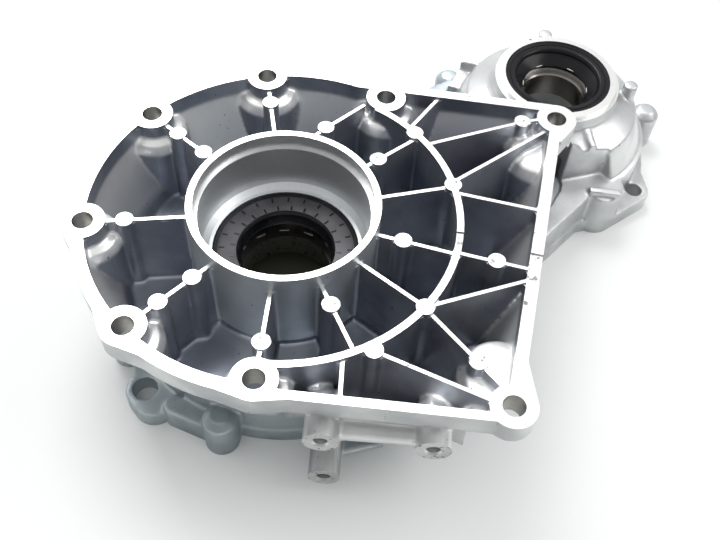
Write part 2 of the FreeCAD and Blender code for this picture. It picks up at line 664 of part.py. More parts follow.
def ridged_deck():
    """The raised deck beside the output ring, with the ridge that ends at a screw boss."""
    inner_r, outer_r = DECK_RADII
    first, last = DECK_ANGLES
    start = polar(inner_r, first, OUTPUT_AXIS)
    end = polar(outer_r, OUTPUT_SIDE_JOINT_ANGLES[2], OUTPUT_AXIS)
    plan = [start, end, polar(outer_r, last, OUTPUT_AXIS), polar(inner_r, last, OUTPUT_AXIS)]
    deck = prism(polygon(plan), CASING_ROOF_Z - OVERLAP, DECK_Z)
    return [deck, wall(start, end, DECK_RIDGE, CASING_ROOF_Z - OVERLAP, DECK_RIDGE_Z)]


def screw_boss(centre, r=JOINT_BOSS_R):
    """A joint screw boss with a rounded top."""
    top_z = JOINT_BOSS_TOP_Z
    fall, flat = JOINT_BOSS_CROWN
    crown = [(r, top_z - fall * r), (flat * r, top_z), (0.0, top_z)]
    return turned([(0.0, JOINT_FACE_Z), (r, JOINT_FACE_Z)] + crown, centre)


def output_dome():
    """The ring and the conical shoulder round the output bore."""
    profile = [
        (0.0, RING_FACE_Z),
        (RING_STEP_R, RING_FACE_Z),
        (RING_STEP_R, RING_FACE_Z - RING_STEP),
        (RING_R, RING_FACE_Z - RING_STEP),
        (RING_R, SHOULDER_TOP[1] + SHOULDER_COLLAR),
        SHOULDER_TOP,
        SHOULDER_KNEE,
        SHOULDER_FOOT,
        (SHOULDER_FOOT[0], JOINT_FACE_Z + JOINT_THICKNESS / 2.0),
        (0.0, JOINT_FACE_Z + JOINT_THICKNESS / 2.0),
    ]
    return turned(profile, OUTPUT_AXIS)


def shoulder_ribs():
    """Short radial fins between the output ring and its shoulder."""
    shapes = []
    for angle in SHOULDER_RIB_ANGLES:
        side = Vector(-sin(radians(angle)), cos(radians(angle)), 0) * (SHOULDER_RIB / 2.0)
        section = [
            (RING_R - OVERLAP, SHOULDER_KNEE[1]),
            (RING_R - OVERLAP, SHOULDER_TOP[1] + SHOULDER_RIB),
            (SHOULDER_RIB_REACH, SHOULDER_TOP[1] - OVERLAP),
            (SHOULDER_RIB_REACH, SHOULDER_KNEE[1]),
        ]
        corners = [at(polar(r, angle, OUTPUT_AXIS), z) - side for r, z in section]
        face = Part.Face(Part.makePolygon(corners + corners[:1]))
        shapes.append(face.extrude(side * 2.0))
    return shapes


def casing_body():
    """The outside of the gear casing: joint flange, walls, dome, bosses and posts."""
    rim_z = JOINT_FACE_Z + JOINT_THICKNESS
    shapes = [
        casing_prism(0.0, 0.0, JOINT_FACE_Z, rim_z),
        casing_prism(JOINT_RIM, SIDE_RIM, rim_z - OVERLAP, CASING_ROOF_Z),
        output_dome().cut(beside_side_wall(0.0)),
        side_wall(),
    ]
    shapes += shoulder_ribs() + ridged_deck() + corner_lobe()
    shapes += [screw_boss(centre) for centre in joint_bosses()]
    for angle in POST_ANGLES:
        centre = polar(POST_ORBIT_R, angle, OUTPUT_AXIS)
        shapes.append(cylinder(centre, POST_R, SHOULDER_FOOT[1] - OVERLAP, POST_TOP_Z))
    return shapes


def ears():
    """The two drilled ears of the casing joint, each with a web to its neighbour."""
    top_z = JOINT_FACE_Z + EAR_THICKNESS
    near_boss = joint_bosses()[0]
    ear = polar(RIGHT_EAR_ORBIT_R, RIGHT_EAR_ANGLE, OUTPUT_AXIS)
    lobe = polar(LOBE_ORBIT_R, LOBE_ANGLE, OUTPUT_AXIS)
    casing_end = polar(RIGHT_WEB_ORBIT_R, 0.0, OUTPUT_AXIS)
    return [
        prism(round_hull(LEFT_EAR, LEFT_EAR_R, LEFT_EAR_TOE, LEFT_EAR_TOE_R), JOINT_FACE_Z, top_z),
        prism(round_hull(LEFT_EAR, LEFT_WEB_R, LEFT_EAR_HEEL, LEFT_WEB_R), JOINT_FACE_Z, top_z),
        prism(round_hull(LEFT_WEB, LEFT_WEB_R, near_boss, JOINT_BOSS_R / 2.0), JOINT_FACE_Z, LEFT_WEB_Z),
        prism(round_hull(ear, RIGHT_EAR_R, lobe, LOBE_R), JOINT_FACE_Z, top_z),
        prism(round_hull(ear, RIGHT_EAR_R, casing_end, RIGHT_WEB_R), JOINT_FACE_Z, top_z),
    ]


def foot_boss(x, z, radius, inner_y):
    """A threaded boss that points out of the foot side."""
    length = inner_y - SIDE_BOSS_FACE_Y
    return Part.makeCylinder(radius, length, Vector(x, SIDE_BOSS_FACE_Y, z), Vector(0, 1, 0))


def foot_bosses():
    """The threaded bosses with the web between the upper two and the gusset of the lower one."""
    shapes = []
    for x in SIDE_BOSS_X:
        shapes.append(foot_boss(x, SIDE_BOSS_Z, SIDE_BOSS_R, SIDE_BOSS_INNER_Y))
        end = Vector(x, SIDE_BOSS_INNER_Y, SIDE_BOSS_Z)
        half_r = SIDE_BOSS_R / 2.0
        shapes.append(Part.makeCone(SIDE_BOSS_R, half_r, half_r, end, Vector(0, 1, 0)))
    shapes.append(foot_boss(LOW_BOSS[0], LOW_BOSS[1], LOW_BOSS_R, LOW_BOSS_INNER_Y))
    left, right = SIDE_BOSS_X
    front = SIDE_BOSS_FACE_Y + SIDE_WEB_SETBACK
    back = front + SIDE_WEB_DEPTH
    web = polygon([(left, front), (right, front), (right, back), (left, back)])
    shapes.append(prism(web, SIDE_BOSS_Z - SIDE_WEB / 2.0, SIDE_BOSS_Z + SIDE_WEB / 2.0))
    shapes.append(prism(polygon(GUSSET_PLAN), GUSSET_Z[0], GUSSET_Z[1]))
    return shapes


def gear_cavity():
    """The open space on the gear side, which rises under the output dome."""
    low_z, roof_z = JOINT_FACE_Z - OVERLAP, CASING_ROOF_Z - CASING_ROOF
    side = beside_side_wall(SHOULDER_WALL)
    side.translate(Vector(0, 0, roof_z - CASING_ROOF_Z))
    dome_r = SHOULDER_FOOT[0] - SHOULDER_WALL
    dome = [
        (0.0, DIFF_SEAT_TOP_Z),
        (SHOULDER_KNEE[0] - SHOULDER_WALL - CAVITY_KNEE[0], DIFF_SEAT_TOP_Z + CAVITY_KNEE[1]),
        (dome_r, roof_z),
        (0.0, roof_z),
    ]
    return [
        casing_prism(JOINT_RIM + CASING_WALL, SIDE_RIM + CASING_WALL, low_z, roof_z),
        turned(dome, OUTPUT_AXIS).cut(side),
    ]


def seat_walls():
    """The bearing seat walls that stand in the gear cavity."""
    outer = DIFF_SEAT_R + DIFF_SEAT_WALL
    return [cylinder(OUTPUT_AXIS, outer, DIFF_SEAT_END_Z, RING_FACE_Z - DIFF_SEAT_DROP)]


def cavity_ribs():
    """Ribs that tie the bearing seats to the casing wall inside the gear cavity."""
    floor = -BELL_DEPTH - BELL_FLOOR
    low_z, high_z = floor - CAVITY_RIB_DEPTH, floor + OVERLAP
    shapes = []
    reach = INPUT_JOINT_R - JOINT_RIM - CAVITY_RIB_LAP
    for angle in INNER_SEAT_RIB_ANGLES:
        start, end = polar(INNER_SEAT_R + CAVITY_RIB_LAP, angle), polar(reach, angle)
        shapes.append(wall(start, end, RIB_ROOT, low_z, high_z))
    reach = OUTPUT_JOINT_R - JOINT_RIM - CAVITY_RIB_LAP
    for angle in DIFF_SEAT_RIB_ANGLES:
        start = polar(DIFF_SEAT_R + CAVITY_RIB_LAP, angle, OUTPUT_AXIS)
        end = polar(reach, angle, OUTPUT_AXIS)
        shapes.append(wall(start, end, RIB_ROOT, low_z, DIFF_SEAT_TOP_Z + DIFF_RIB_RISE))
    first = polar(TIE_WALL_ENDS[0], TIE_WALL_ANGLE)
    last = polar(TIE_WALL_ENDS[1], TIE_WALL_ANGLE + 180.0, OUTPUT_AXIS)
    shapes.append(wall(first, last, TIE_WALL_WIDTH, floor - TIE_WALL_DEPTH, high_z))
    return shapes


def wall(start, end, width, z_low, z_high):
    """An upright wall of even width between two plan points."""
    length = hypot(end[0] - start[0], end[1] - start[1])
    across = Vector(start[1] - end[1], end[0] - start[0], 0) * (width / 2.0 / length)
    first, last = at(start), at(end)
    corners = [first - across, last - across, last + across, first + across]
    return prism(Part.Face(Part.makePolygon(corners + corners[:1])), z_low, z_high)


def output_bores():
    """Everything machined out of the output ring and the differential seat."""
    profile = [
        (0.0, RING_FACE_Z + OVERLAP),
        (OUTPUT_SEAL_R, RING_FACE_Z + OVERLAP),
        (OUTPUT_SEAL_R, OUTPUT_SHELF_Z),
        (BUSH_R, OUTPUT_SHELF_Z),
        (BUSH_R, DIFF_SEAT_TOP_Z),
        (DIFF_SEAT_R, DIFF_SEAT_TOP_Z),
        (DIFF_SEAT_R, DIFF_SEAT_END_Z - OVERLAP),
        (0.0, DIFF_SEAT_END_Z - OVERLAP),
    ]
    return turned(profile, OUTPUT_AXIS)


def bolt_holes():
    """The through holes of the bell flange."""
    low_z = -FLANGE_THICKNESS - OVERLAP
    return [cylinder(bolt, BOLT_HOLE_R, low_z, OVERLAP) for bolt in bell_bolts()]


def reliefs():
    """Pockets under the flange, open outwards, that leave room for the bolt heads."""
    cuts = [cylinder(bolt, RELIEF_R, RELIEF_LOW_Z, -FLANGE_THICKNESS) for bolt in round_bolts()]
    for bolt, shift in ((UPPER_CORNER_BOLT, UPPER_DOME_SHIFT), (LOWER_CORNER_BOLT, LOWER_DOME_SHIFT)):
        far = polar(shift[0], shift[1], bolt)
        slot = round_hull(bolt, CORNER_RELIEF_R + 0.01, far, CORNER_RELIEF_R)
        cuts.append(prism(slot, RELIEF_LOW_Z, -FLANGE_THICKNESS))
    return cuts


def threaded_holes():
    """Tapping holes of the foot bosses and of the joint screw bosses."""
    cuts = []
    for x, z in [(x, SIDE_BOSS_Z) for x in SIDE_BOSS_X] + [LOW_BOSS]:
        start = Vector(x, SIDE_BOSS_FACE_Y - OVERLAP, z)
        cuts.append(Part.makeCylinder(BOSS_HOLE_R, BOSS_HOLE_DEPTH + OVERLAP, start, Vector(0, 1, 0)))
        mouth = Vector(x, SIDE_BOSS_FACE_Y, z)
        mouth_r = BOSS_HOLE_R + BOSS_CHAMFER
        cuts.append(Part.makeCone(mouth_r, BOSS_HOLE_R, BOSS_CHAMFER, mouth, Vector(0, 1, 0)))
    for centre in joint_bosses():
        top_z = JOINT_FACE_Z + JOINT_SCREW_DEPTH
        cuts.append(cylinder(centre, JOINT_SCREW_R, JOINT_FACE_Z - OVERLAP, top_z))
    return cuts


def ear_holes():
    """The drilled holes of the two ears."""
    low_z, top_z = JOINT_FACE_Z - OVERLAP, LEFT_WEB_Z + OVERLAP
    right = polar(RIGHT_EAR_ORBIT_R, RIGHT_EAR_ANGLE, OUTPUT_AXIS)
    left_hole = cylinder(LEFT_EAR, LEFT_EAR_HOLE_R, low_z, top_z)
    return [left_hole, cylinder(right, RIGHT_EAR_HOLE_R, low_z, top_z)]


def cast_patches():
    """Shallow unmachined patches in the flange's flat side and in the arc rib."""
    side = Row(LOWER_CORNER_BOLT, UPPER_CORNER_BOLT, 0.0)
    plan = []
    (low_y, high_y), (inner, outer) = SIDE_PATCH_Y, SIDE_PATCH_REACH
    for y, out in ((low_y, inner), (low_y, outer), (high_y, outer), (high_y, inner)):
        near = side.beside((LOWER_CORNER_BOLT[0], y))
        plan.append((near[0] + out * side.nx, near[1] + out * side.ny))
    start, end = ARC_PATCH_ANGLES
    low, high = ARC_RIB_R - 1.0, ARC_RIB_R + ARC_RIB_WIDTH + 1.0
    profile = [(low, -PATCH_DEPTH), (high, -PATCH_DEPTH), (high, OVERLAP), (low, OVERLAP)]
    return [prism(polygon(plan), -PATCH_DEPTH, OVERLAP), turned(profile, (0.0, 0.0), start, end - start)]


def bell():
    """The ribbed bell with its flange, domes, ribs and hub, before the bores are cut."""
    plate = flange_plate()
    outer = tapered_bell(BELL_WALL, TAPER_TOP_Z, -BELL_DEPTH - BELL_FLOOR)
    mouth = prism(Part.Face(mouth_edge(0.0)), TAPER_TOP_Z, OVERLAP)
    shell = plate.fuse(outer).cut(mouth.fuse(tapered_bell(0.0, TAPER_TOP_Z, -BELL_DEPTH)))
    domes = bell_domes().common(plate.fuse(outer))
    return fuse([shell, domes, arc_rib(), hub()] + spokes() + outer_ribs() + foot_bosses())


def housing():
    """The whole casting."""
    body = fuse([bell()] + casing_body() + ears())
    keep = seat_walls() + cavity_ribs() + [hub()]
    body = body.cut(fuse(gear_cavity()).cut(fuse(keep)))
    cuts = [input_bores(), output_bores()] + reliefs() + bolt_holes()
    for tool in cuts + threaded_holes() + ear_holes() + cast_patches():
        body = body.cut(tool)
    return body


def lip_seal(outer_r, lip_r, dust_r, face_z, centre):
    """A rubber-covered shaft seal: case, face, dust lip and the sprung lip with its groove."""
    groove_z = face_z - SEAL_WIDTH * SPRING_SHARE
    inside_z = face_z - SEAL_CASE
    profile = [
        (dust_r, face_z - DUST_DEPTH),
        (dust_r + DUST_BEVEL, face_z),
        (outer_r, face_z),
        (outer_r, face_z - SEAL_WIDTH),
        (outer_r - SEAL_CASE, face_z - SEAL_WIDTH),
        (outer_r - SEAL_CASE, inside_z),
        (dust_r + SEAL_CASE + DUST_BEVEL, inside_z),
        (lip_r + SPRING_SEAT, groove_z + SPRING_WIRE_R),
        (lip_r + SPRING_SEAT, groove_z - SPRING_WIRE_R - LIP_TOE),
        (lip_r, groove_z),
        (dust_r + DUST_BEVEL, inside_z),
    ]
    return turned(profile, centre)


def garter_spring(lip_r, face_z, centre):
    """The coil spring ring that presses a seal lip on its shaft, as its outer shape."""
    middle = (lip_r + SPRING_SEAT + SPRING_WIRE_R, face_z - SEAL_WIDTH * SPRING_SHARE)
    return turned([polar(SPRING_WIRE_R * sqrt(2.0), 45.0 + 90.0 * k, middle) for k in range(4)], centre)


def output_bush():
    """The sleeve bush of the output bore, chamfered at its top."""
    low_z = BUSH_TOP_Z - BUSH_LENGTH
    profile = [
        (BUSH_BORE_R, low_z),
        (BUSH_R, low_z),
        (BUSH_R, BUSH_TOP_Z - BUSH_OUTER_CHAMFER),
        (BUSH_R - BUSH_OUTER_CHAMFER, BUSH_TOP_Z),
        (BUSH_BORE_R + BUSH_CHAMFER, BUSH_TOP_Z),
        (BUSH_BORE_R, BUSH_TOP_Z - BUSH_CHAMFER),
    ]
    return turned(profile, OUTPUT_AXIS)


def main():
    """Builds every piece and writes it to its own file."""
    input_face = HUB_SHELF_Z - SEAL_RECESS
    output_face = RING_FACE_Z - SEAL_RECESS
    hub_axis = (0.0, 0.0)
    pieces = {
        "housing": housing(),
        "input_seal": lip_seal(INPUT_SEAL_R, INPUT_LIP_R, INPUT_DUST_R, input_face, hub_axis),
        "input_seal_spring": garter_spring(INPUT_LIP_R, input_face, hub_axis),
        "output_seal": lip_seal(OUTPUT_SEAL_R, OUTPUT_LIP_R, OUTPUT_DUST_R, output_face, OUTPUT_AXIS),
        "output_seal_spring": garter_spring(OUTPUT_LIP_R, output_face, OUTPUT_AXIS),
        "output_bush": output_bush(),
    }
    os.makedirs("parts", exist_ok=True)
    for name, shape in pieces.items():
        solid = shape.Solids[0] if len(shape.Solids) == 1 else shape
        volume = round(shape.Volume / 1000.0, 1)
        print(name, len(shape.Solids), shape.isValid(), volume, len(shape.Faces))
        solid.exportStep("parts/" + name + ".step")


main()
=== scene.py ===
"""Front differential housing: the looks of its casting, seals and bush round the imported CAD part.

The casting is remodelled from the CAD solid with soft cast edges, while its machined faces and bores
stay crisp. Everything is in metres in the part's own frame: the origin is on the input bore's axis in
the bell flange face, +Z out of the bell mouth, +X towards the flat side of the flange and +Y towards
the output bore.
"""

from __future__ import annotations

import logging
import math
from dataclasses import dataclass, field
from enum import Enum

import bpy
import numpy as np
from mathutils import Matrix, Vector

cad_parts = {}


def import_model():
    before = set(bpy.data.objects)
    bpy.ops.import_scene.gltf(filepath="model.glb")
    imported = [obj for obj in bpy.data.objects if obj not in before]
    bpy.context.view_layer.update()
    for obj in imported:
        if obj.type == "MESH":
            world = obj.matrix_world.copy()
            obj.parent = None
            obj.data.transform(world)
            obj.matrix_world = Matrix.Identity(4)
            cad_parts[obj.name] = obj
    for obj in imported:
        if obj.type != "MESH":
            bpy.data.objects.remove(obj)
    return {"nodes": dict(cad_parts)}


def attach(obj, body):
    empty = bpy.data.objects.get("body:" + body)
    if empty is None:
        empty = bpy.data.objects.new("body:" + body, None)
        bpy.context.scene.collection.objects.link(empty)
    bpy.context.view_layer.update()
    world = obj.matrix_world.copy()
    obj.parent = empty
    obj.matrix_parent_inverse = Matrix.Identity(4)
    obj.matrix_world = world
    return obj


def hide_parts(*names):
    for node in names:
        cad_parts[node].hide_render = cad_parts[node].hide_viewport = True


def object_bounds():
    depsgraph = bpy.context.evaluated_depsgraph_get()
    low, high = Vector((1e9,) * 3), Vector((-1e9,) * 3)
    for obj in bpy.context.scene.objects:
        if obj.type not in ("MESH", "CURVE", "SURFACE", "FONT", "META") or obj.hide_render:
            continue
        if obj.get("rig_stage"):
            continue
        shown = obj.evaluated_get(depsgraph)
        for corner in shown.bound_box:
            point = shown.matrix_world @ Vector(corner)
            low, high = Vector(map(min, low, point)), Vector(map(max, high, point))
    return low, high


LOG = logging.getLogger("differential_housing")
MM = 0.001
SMOOTH_ANGLE = math.radians(34.0)

PlanPoint = tuple[float, float]
Profile = list[tuple[float, float]]
Colour = tuple[float, float, float]

HUB_AXIS: PlanPoint = (0.0, 0.0)
OUTPUT_AXIS: PlanPoint = (154.4, 136.5)


def polar(radius: float, angle: float, centre: PlanPoint = HUB_AXIS) -> PlanPoint:
    """A plan point at a radius and an angle from a centre.

    Args:
        radius: Distance from the centre, in millimetres.
        angle: Direction in degrees, anticlockwise from +X.
        centre: The plan point measured from.

    Returns:
        The plan point in millimetres.
    """
    turn = math.radians(angle)
    return centre[0] + radius * math.cos(turn), centre[1] + radius * math.sin(turn)


class Tools:
    """Modelling steps that every sub-assembly uses."""

    @staticmethod
    def deselect() -> None:
        """Leaves edit mode and deselects every object."""
        if bpy.context.object and bpy.context.object.mode != "OBJECT":
            bpy.ops.object.mode_set(mode="OBJECT")
        bpy.ops.object.select_all(action="DESELECT")

    @staticmethod
    def pick(piece: bpy.types.Object) -> None:
        """Selects one piece alone and makes it active."""
        Tools.deselect()
        piece.select_set(True)
        bpy.context.view_layer.objects.active = piece

    @staticmethod
    def settle(piece: bpy.types.Object) -> None:
        """Puts a piece's place into its mesh, so that its object sits at the origin."""
        Tools.pick(piece)
        bpy.ops.object.transform_apply(location=True, rotation=True, scale=True)

    @staticmethod
    def heal(piece: bpy.types.Object, distance: float = 1e-6) -> None:
        """Merges a mesh's doubled vertices and points its faces outwards.

        Args:
            piece: The mesh to heal.
            distance: Vertices closer than this many metres become one.
        """
        Tools.pick(piece)
        bpy.ops.object.mode_set(mode="EDIT")
        bpy.ops.mesh.select_all(action="SELECT")
        bpy.ops.mesh.remove_doubles(threshold=distance)
        bpy.ops.mesh.normals_make_consistent(inside=False)
        bpy.ops.object.mode_set(mode="OBJECT")

    @staticmethod
    def copy(piece: bpy.types.Object, name: str) -> bpy.types.Object:
        """A copy of a piece with its own mesh.

        Args:
            piece: The piece to copy.
            name: The copy's name.

        Returns:
            The copy, merged to one closed mesh.
        """
        Tools.pick(piece)
        bpy.ops.object.duplicate()
        made = bpy.context.object
        made.name = name
        made.data.name = name
        for key in [k for k in made.keys() if k.startswith("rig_")]:
            del made[key]
        made.data.materials.clear()
        bpy.ops.mesh.customdata_custom_splitnormals_clear()
        Tools.heal(made)
        return made

    @staticmethod
    def join(pieces: list[bpy.types.Object], name: str) -> bpy.types.Object:
        """Joins pieces into one object.

        Args:
            pieces: The pieces, of which the first keeps its place.
            name: The joined object's name.

        Returns:
            The joined object.
        """
        Tools.pick(pieces[0])
        for piece in pieces[1:]:
            piece.select_set(True)
        bpy.ops.object.join()
        made = bpy.context.object
        made.name = name
        made.data.name = name
        return made

    @staticmethod
    def boolean(piece: bpy.types.Object, tool: bpy.types.Object, action: str) -> None:
        """Cuts, joins or crosses a piece with a tool, which is used up.

        Args:
            piece: The piece that is changed.
            tool: The closed mesh that works on it.
            action: DIFFERENCE, UNION or INTERSECT.
        """
        Tools.pick(piece)
        step = piece.modifiers.new(action.title(), "BOOLEAN")
        step.operation = action
        step.object = tool
        step.solver = "MANIFOLD"
        bpy.ops.object.modifier_apply(modifier=step.name)
        bpy.data.objects.remove(tool, do_unlink=True)

    @staticmethod
    def block(low: tuple[float, float, float], high: tuple[float, float, float]) -> bpy.types.Object:
        """A block between two corners in millimetres."""
        Tools.deselect()
        middle = [(a + b) / 2.0 * MM for a, b in zip(low, high)]
        size = [(b - a) * MM for a, b in zip(low, high)]
        bpy.ops.mesh.primitive_cube_add(size=1.0, location=middle, scale=size)
        made = bpy.context.object
        Tools.settle(made)
        return made

    @staticmethod
    def bar(
        middle: PlanPoint, height: float, size: tuple[float, float, float], centre: PlanPoint = HUB_AXIS
    ) -> bpy.types.Object:
        """A small bar whose first side points away from an axis, in millimetres.

        Args:
            middle: Its middle in plan.
            height: The height of its middle.
            size: Its sides along the radius, across it and upwards.
            centre: The axis in plan.

        Returns:
            The bar.
        """
        turn = math.atan2(middle[1] - centre[1], middle[0] - centre[0])
        Tools.deselect()
        bpy.ops.mesh.primitive_cube_add(
            size=1.0,
            location=(middle[0] * MM, middle[1] * MM, height * MM),
            rotation=(0.0, 0.0, turn),
            scale=[side * MM for side in size],
        )
        made = bpy.context.object
        Tools.settle(made)
        return made

    @staticmethod
    def post(centre: PlanPoint, radius: float, low: float, high: float, sides: int = 64) -> bpy.types.Object:
        """A round upright post, with its sizes in millimetres."""
        Tools.deselect()
        place = (centre[0] * MM, centre[1] * MM, (low + high) / 2.0 * MM)
        bpy.ops.mesh.primitive_cylinder_add(
            vertices=sides, radius=radius * MM, depth=(high - low) * MM, location=place
        )
        made = bpy.context.object
        Tools.settle(made)
        return made

    @staticmethod
    def turned(name: str, profile: Profile, centre: PlanPoint, steps: int = 120) -> bpy.types.Object:
        """A ring turned about an upright axis.

        Args:
            name: The ring's name.
            profile: The half section's corners as (radius, height) in millimetres.
            centre: The axis in plan.
            steps: How many faces go round.

        Returns:
            The closed ring.
        """
        Tools.deselect()
        first = Vector((centre[0] + profile[0][0], centre[1], profile[0][1])) * MM
        bpy.ops.mesh.primitive_plane_add(size=MM, location=first)
        made = bpy.context.object
        made.name = name
        made.data.name = name
        Tools.settle(made)
        bpy.ops.object.mode_set(mode="EDIT")
        bpy.ops.mesh.select_all(action="SELECT")
        bpy.ops.mesh.merge(type="CENTER")
        for (r0, z0), (r1, z1) in zip(profile, profile[1:]):
            step = ((r1 - r0) * MM, 0.0, (z1 - z0) * MM)
            bpy.ops.mesh.extrude_vertices_move(TRANSFORM_OT_translate={"value": step})
        bpy.ops.object.mode_set(mode="OBJECT")
        for vertex in made.data.vertices:
            vertex.select = vertex.index in (0, len(profile) - 1)
        bpy.ops.object.mode_set(mode="EDIT")
        bpy.ops.mesh.edge_face_add()
        bpy.ops.mesh.select_all(action="SELECT")
        bpy.ops.mesh.spin(
            steps=steps,
            angle=math.tau,
            center=(centre[0] * MM, centre[1] * MM, 0.0),
            axis=(0.0, 0.0, 1.0),
        )
        bpy.ops.object.mode_set(mode="OBJECT")
        Tools.heal(made)
        return made

    @staticmethod
    def smooth(piece: bpy.types.Object, angle: float = SMOOTH_ANGLE) -> None:
        """Shades a piece smooth between edges sharper than an angle."""
        Tools.pick(piece)
        bpy.ops.object.shade_smooth_by_angle(angle=angle)


class Nodes:
    """A short way to write shader nodes."""

    def __init__(self, tree: bpy.types.NodeTree) -> None:
        """Starts from an empty node tree."""
        self.tree = tree
        self.tree.nodes.clear()

    def add(self, kind: str, **settings: object) -> bpy.types.Node:
        """A new node of a kind with its properties set."""
        node = self.tree.nodes.new(kind)
        for name, value in settings.items():
            setattr(node, name, value)
        return node

    def link(self, output: bpy.types.NodeSocket, target: bpy.types.NodeSocket) -> None:
        """A link from an output to an input."""
        self.tree.links.new(output, target)

    def maths(self, operation: str, first: object, second: object) -> bpy.types.NodeSocket:
        """A Math node's output, its inputs given as sockets or numbers."""
        node = self.add("ShaderNodeMath", operation=operation)
        for socket, value in zip(node.inputs, (first, second)):
            if isinstance(value, bpy.types.NodeSocket):
                self.link(value, socket)
            else:
                socket.default_value = value
        return node.outputs["Value"]

    def noise(self, scale: object, detail: float, coordinates: bpy.types.NodeSocket) -> bpy.types.NodeSocket:
        """A Noise texture's value at a scale given as a socket or a number."""
        node = self.add("ShaderNodeTexNoise")
        node.inputs["Detail"].default_value = detail
        self.link(coordinates, node.inputs["Vector"])
        if isinstance(scale, bpy.types.NodeSocket):
            self.link(scale, node.inputs["Scale"])
        else:
            node.inputs["Scale"].default_value = scale
        return node.outputs["Fac"]

    def band(self, value: bpy.types.NodeSocket, low: object, high: object) -> bpy.types.NodeSocket:
        """A value's smooth rise from 0 to 1 between two levels."""
        node = self.add("ShaderNodeMapRange", interpolation_type="SMOOTHSTEP")
        self.link(value, node.inputs["Value"])
        for name, level in (("From Min", low), ("From Max", high)):
            if isinstance(level, bpy.types.NodeSocket):
                self.link(level, node.inputs[name])
            else:
                node.inputs[name].default_value = level
        return node.outputs["Result"]

    def mix(self, share: bpy.types.NodeSocket, first: object, second: object) -> bpy.types.NodeSocket:
        """A colour between two colours given as sockets or values."""
        node = self.add("ShaderNodeMix", data_type="RGBA")
        self.link(share, node.inputs["Factor"])
        for socket, value in ((node.inputs[6], first), (node.inputs[7], second)):
            if isinstance(value, bpy.types.NodeSocket):
                self.link(value, socket)
            else:
                socket.default_value = (*value, 1.0)
        return node.outputs[2]


def new_material(name: str) -> tuple[bpy.types.Material, Nodes]:
    """A new material with an empty node tree.

    Args:
        name: The material's name.

    Returns:
        The material and its nodes.
    """
    material = bpy.data.materials.new(name)
    material.use_nodes = True
    return material, Nodes(material.node_tree)


class Effects:
    """Node groups for what more than one finish shows."""

    FLOW_BAND = (0.36, 0.66)
    SPECK_SCALE_SHARE = 0.45
    SPECK_EDGE = 0.05
    LAY_TURN = math.radians(38.0)
    LAY_STRETCH = (1.0, 0.05, 1.0)
    PORE_EDGE = 0.03

    @staticmethod
    def group(name: str, inputs: dict[str, float], outputs: tuple[str, ...]) -> tuple[Nodes, dict, dict]:
        """An empty node group with named value sockets.

        Args:
            name: The group's name.
            inputs: Each input's name and default.
            outputs: The outputs' names.

        Returns:
            The group's nodes, its inner input sockets and its inner output sockets.
        """
        tree = bpy.data.node_groups.new(name, "ShaderNodeTree")
        for title, value in inputs.items():
            socket = tree.interface.new_socket(name=title, in_out="INPUT", socket_type="NodeSocketFloat")
            socket.default_value = value
        for title in outputs:
            tree.interface.new_socket(name=title, in_out="OUTPUT", socket_type="NodeSocketFloat")
        nodes = Nodes(tree)
        start, end = nodes.add("NodeGroupInput"), nodes.add("NodeGroupOutput")
        given = {socket.name: socket for socket in start.outputs if socket.name}
        made = {socket.name: socket for socket in end.inputs if socket.name}
        return nodes, given, made

    @staticmethod
    def cast_grain() -> bpy.types.NodeTree:
        """Fine die-cast grain with broad flow marks and specks."""
        inputs = {"Grain Scale": 900.0, "Flow Scale": 26.0, "Speck Level": 0.72}
        nodes, given, made = Effects.group("cast_grain", inputs, ("Grain", "Flow", "Specks"))
        place = nodes.add("ShaderNodeTexCoord").outputs["Object"]
        nodes.link(nodes.noise(given["Grain Scale"], 3.0, place), made["Grain"])
        flow = nodes.noise(given["Flow Scale"], 4.0, place)
        nodes.link(nodes.band(flow, *Effects.FLOW_BAND), made["Flow"])
        speck_scale = nodes.maths("MULTIPLY", given["Grain Scale"], Effects.SPECK_SCALE_SHARE)
        speck = nodes.noise(speck_scale, 2.0, place)
        high = nodes.maths("ADD", given["Speck Level"], Effects.SPECK_EDGE)
        nodes.link(nodes.band(speck, given["Speck Level"], high), made["Specks"])
        return nodes.tree

    @staticmethod
    def cutter_marks() -> bpy.types.NodeTree:
        """The lay that a milling cutter leaves, with pores laid open in the cut face."""
        inputs = {"Lay Scale": 420.0, "Pore Scale": 160.0, "Pore Level": 0.70}
        nodes, given, made = Effects.group("cutter_marks", inputs, ("Lay", "Pores"))
        place = nodes.add("ShaderNodeTexCoord").outputs["Object"]
        stretch = nodes.add("ShaderNodeMapping")
        stretch.inputs["Rotation"].default_value = (0.0, 0.0, Effects.LAY_TURN)
        stretch.inputs["Scale"].default_value = Effects.LAY_STRETCH
        nodes.link(place, stretch.inputs["Vector"])
        nodes.link(nodes.noise(given["Lay Scale"], 3.0, stretch.outputs["Vector"]), made["Lay"])
        pore = nodes.noise(given["Pore Scale"], 2.0, place)
        high = nodes.maths("ADD", given["Pore Level"], Effects.PORE_EDGE)
        nodes.link(nodes.band(pore, given["Pore Level"], high), made["Pores"])
        return nodes.tree


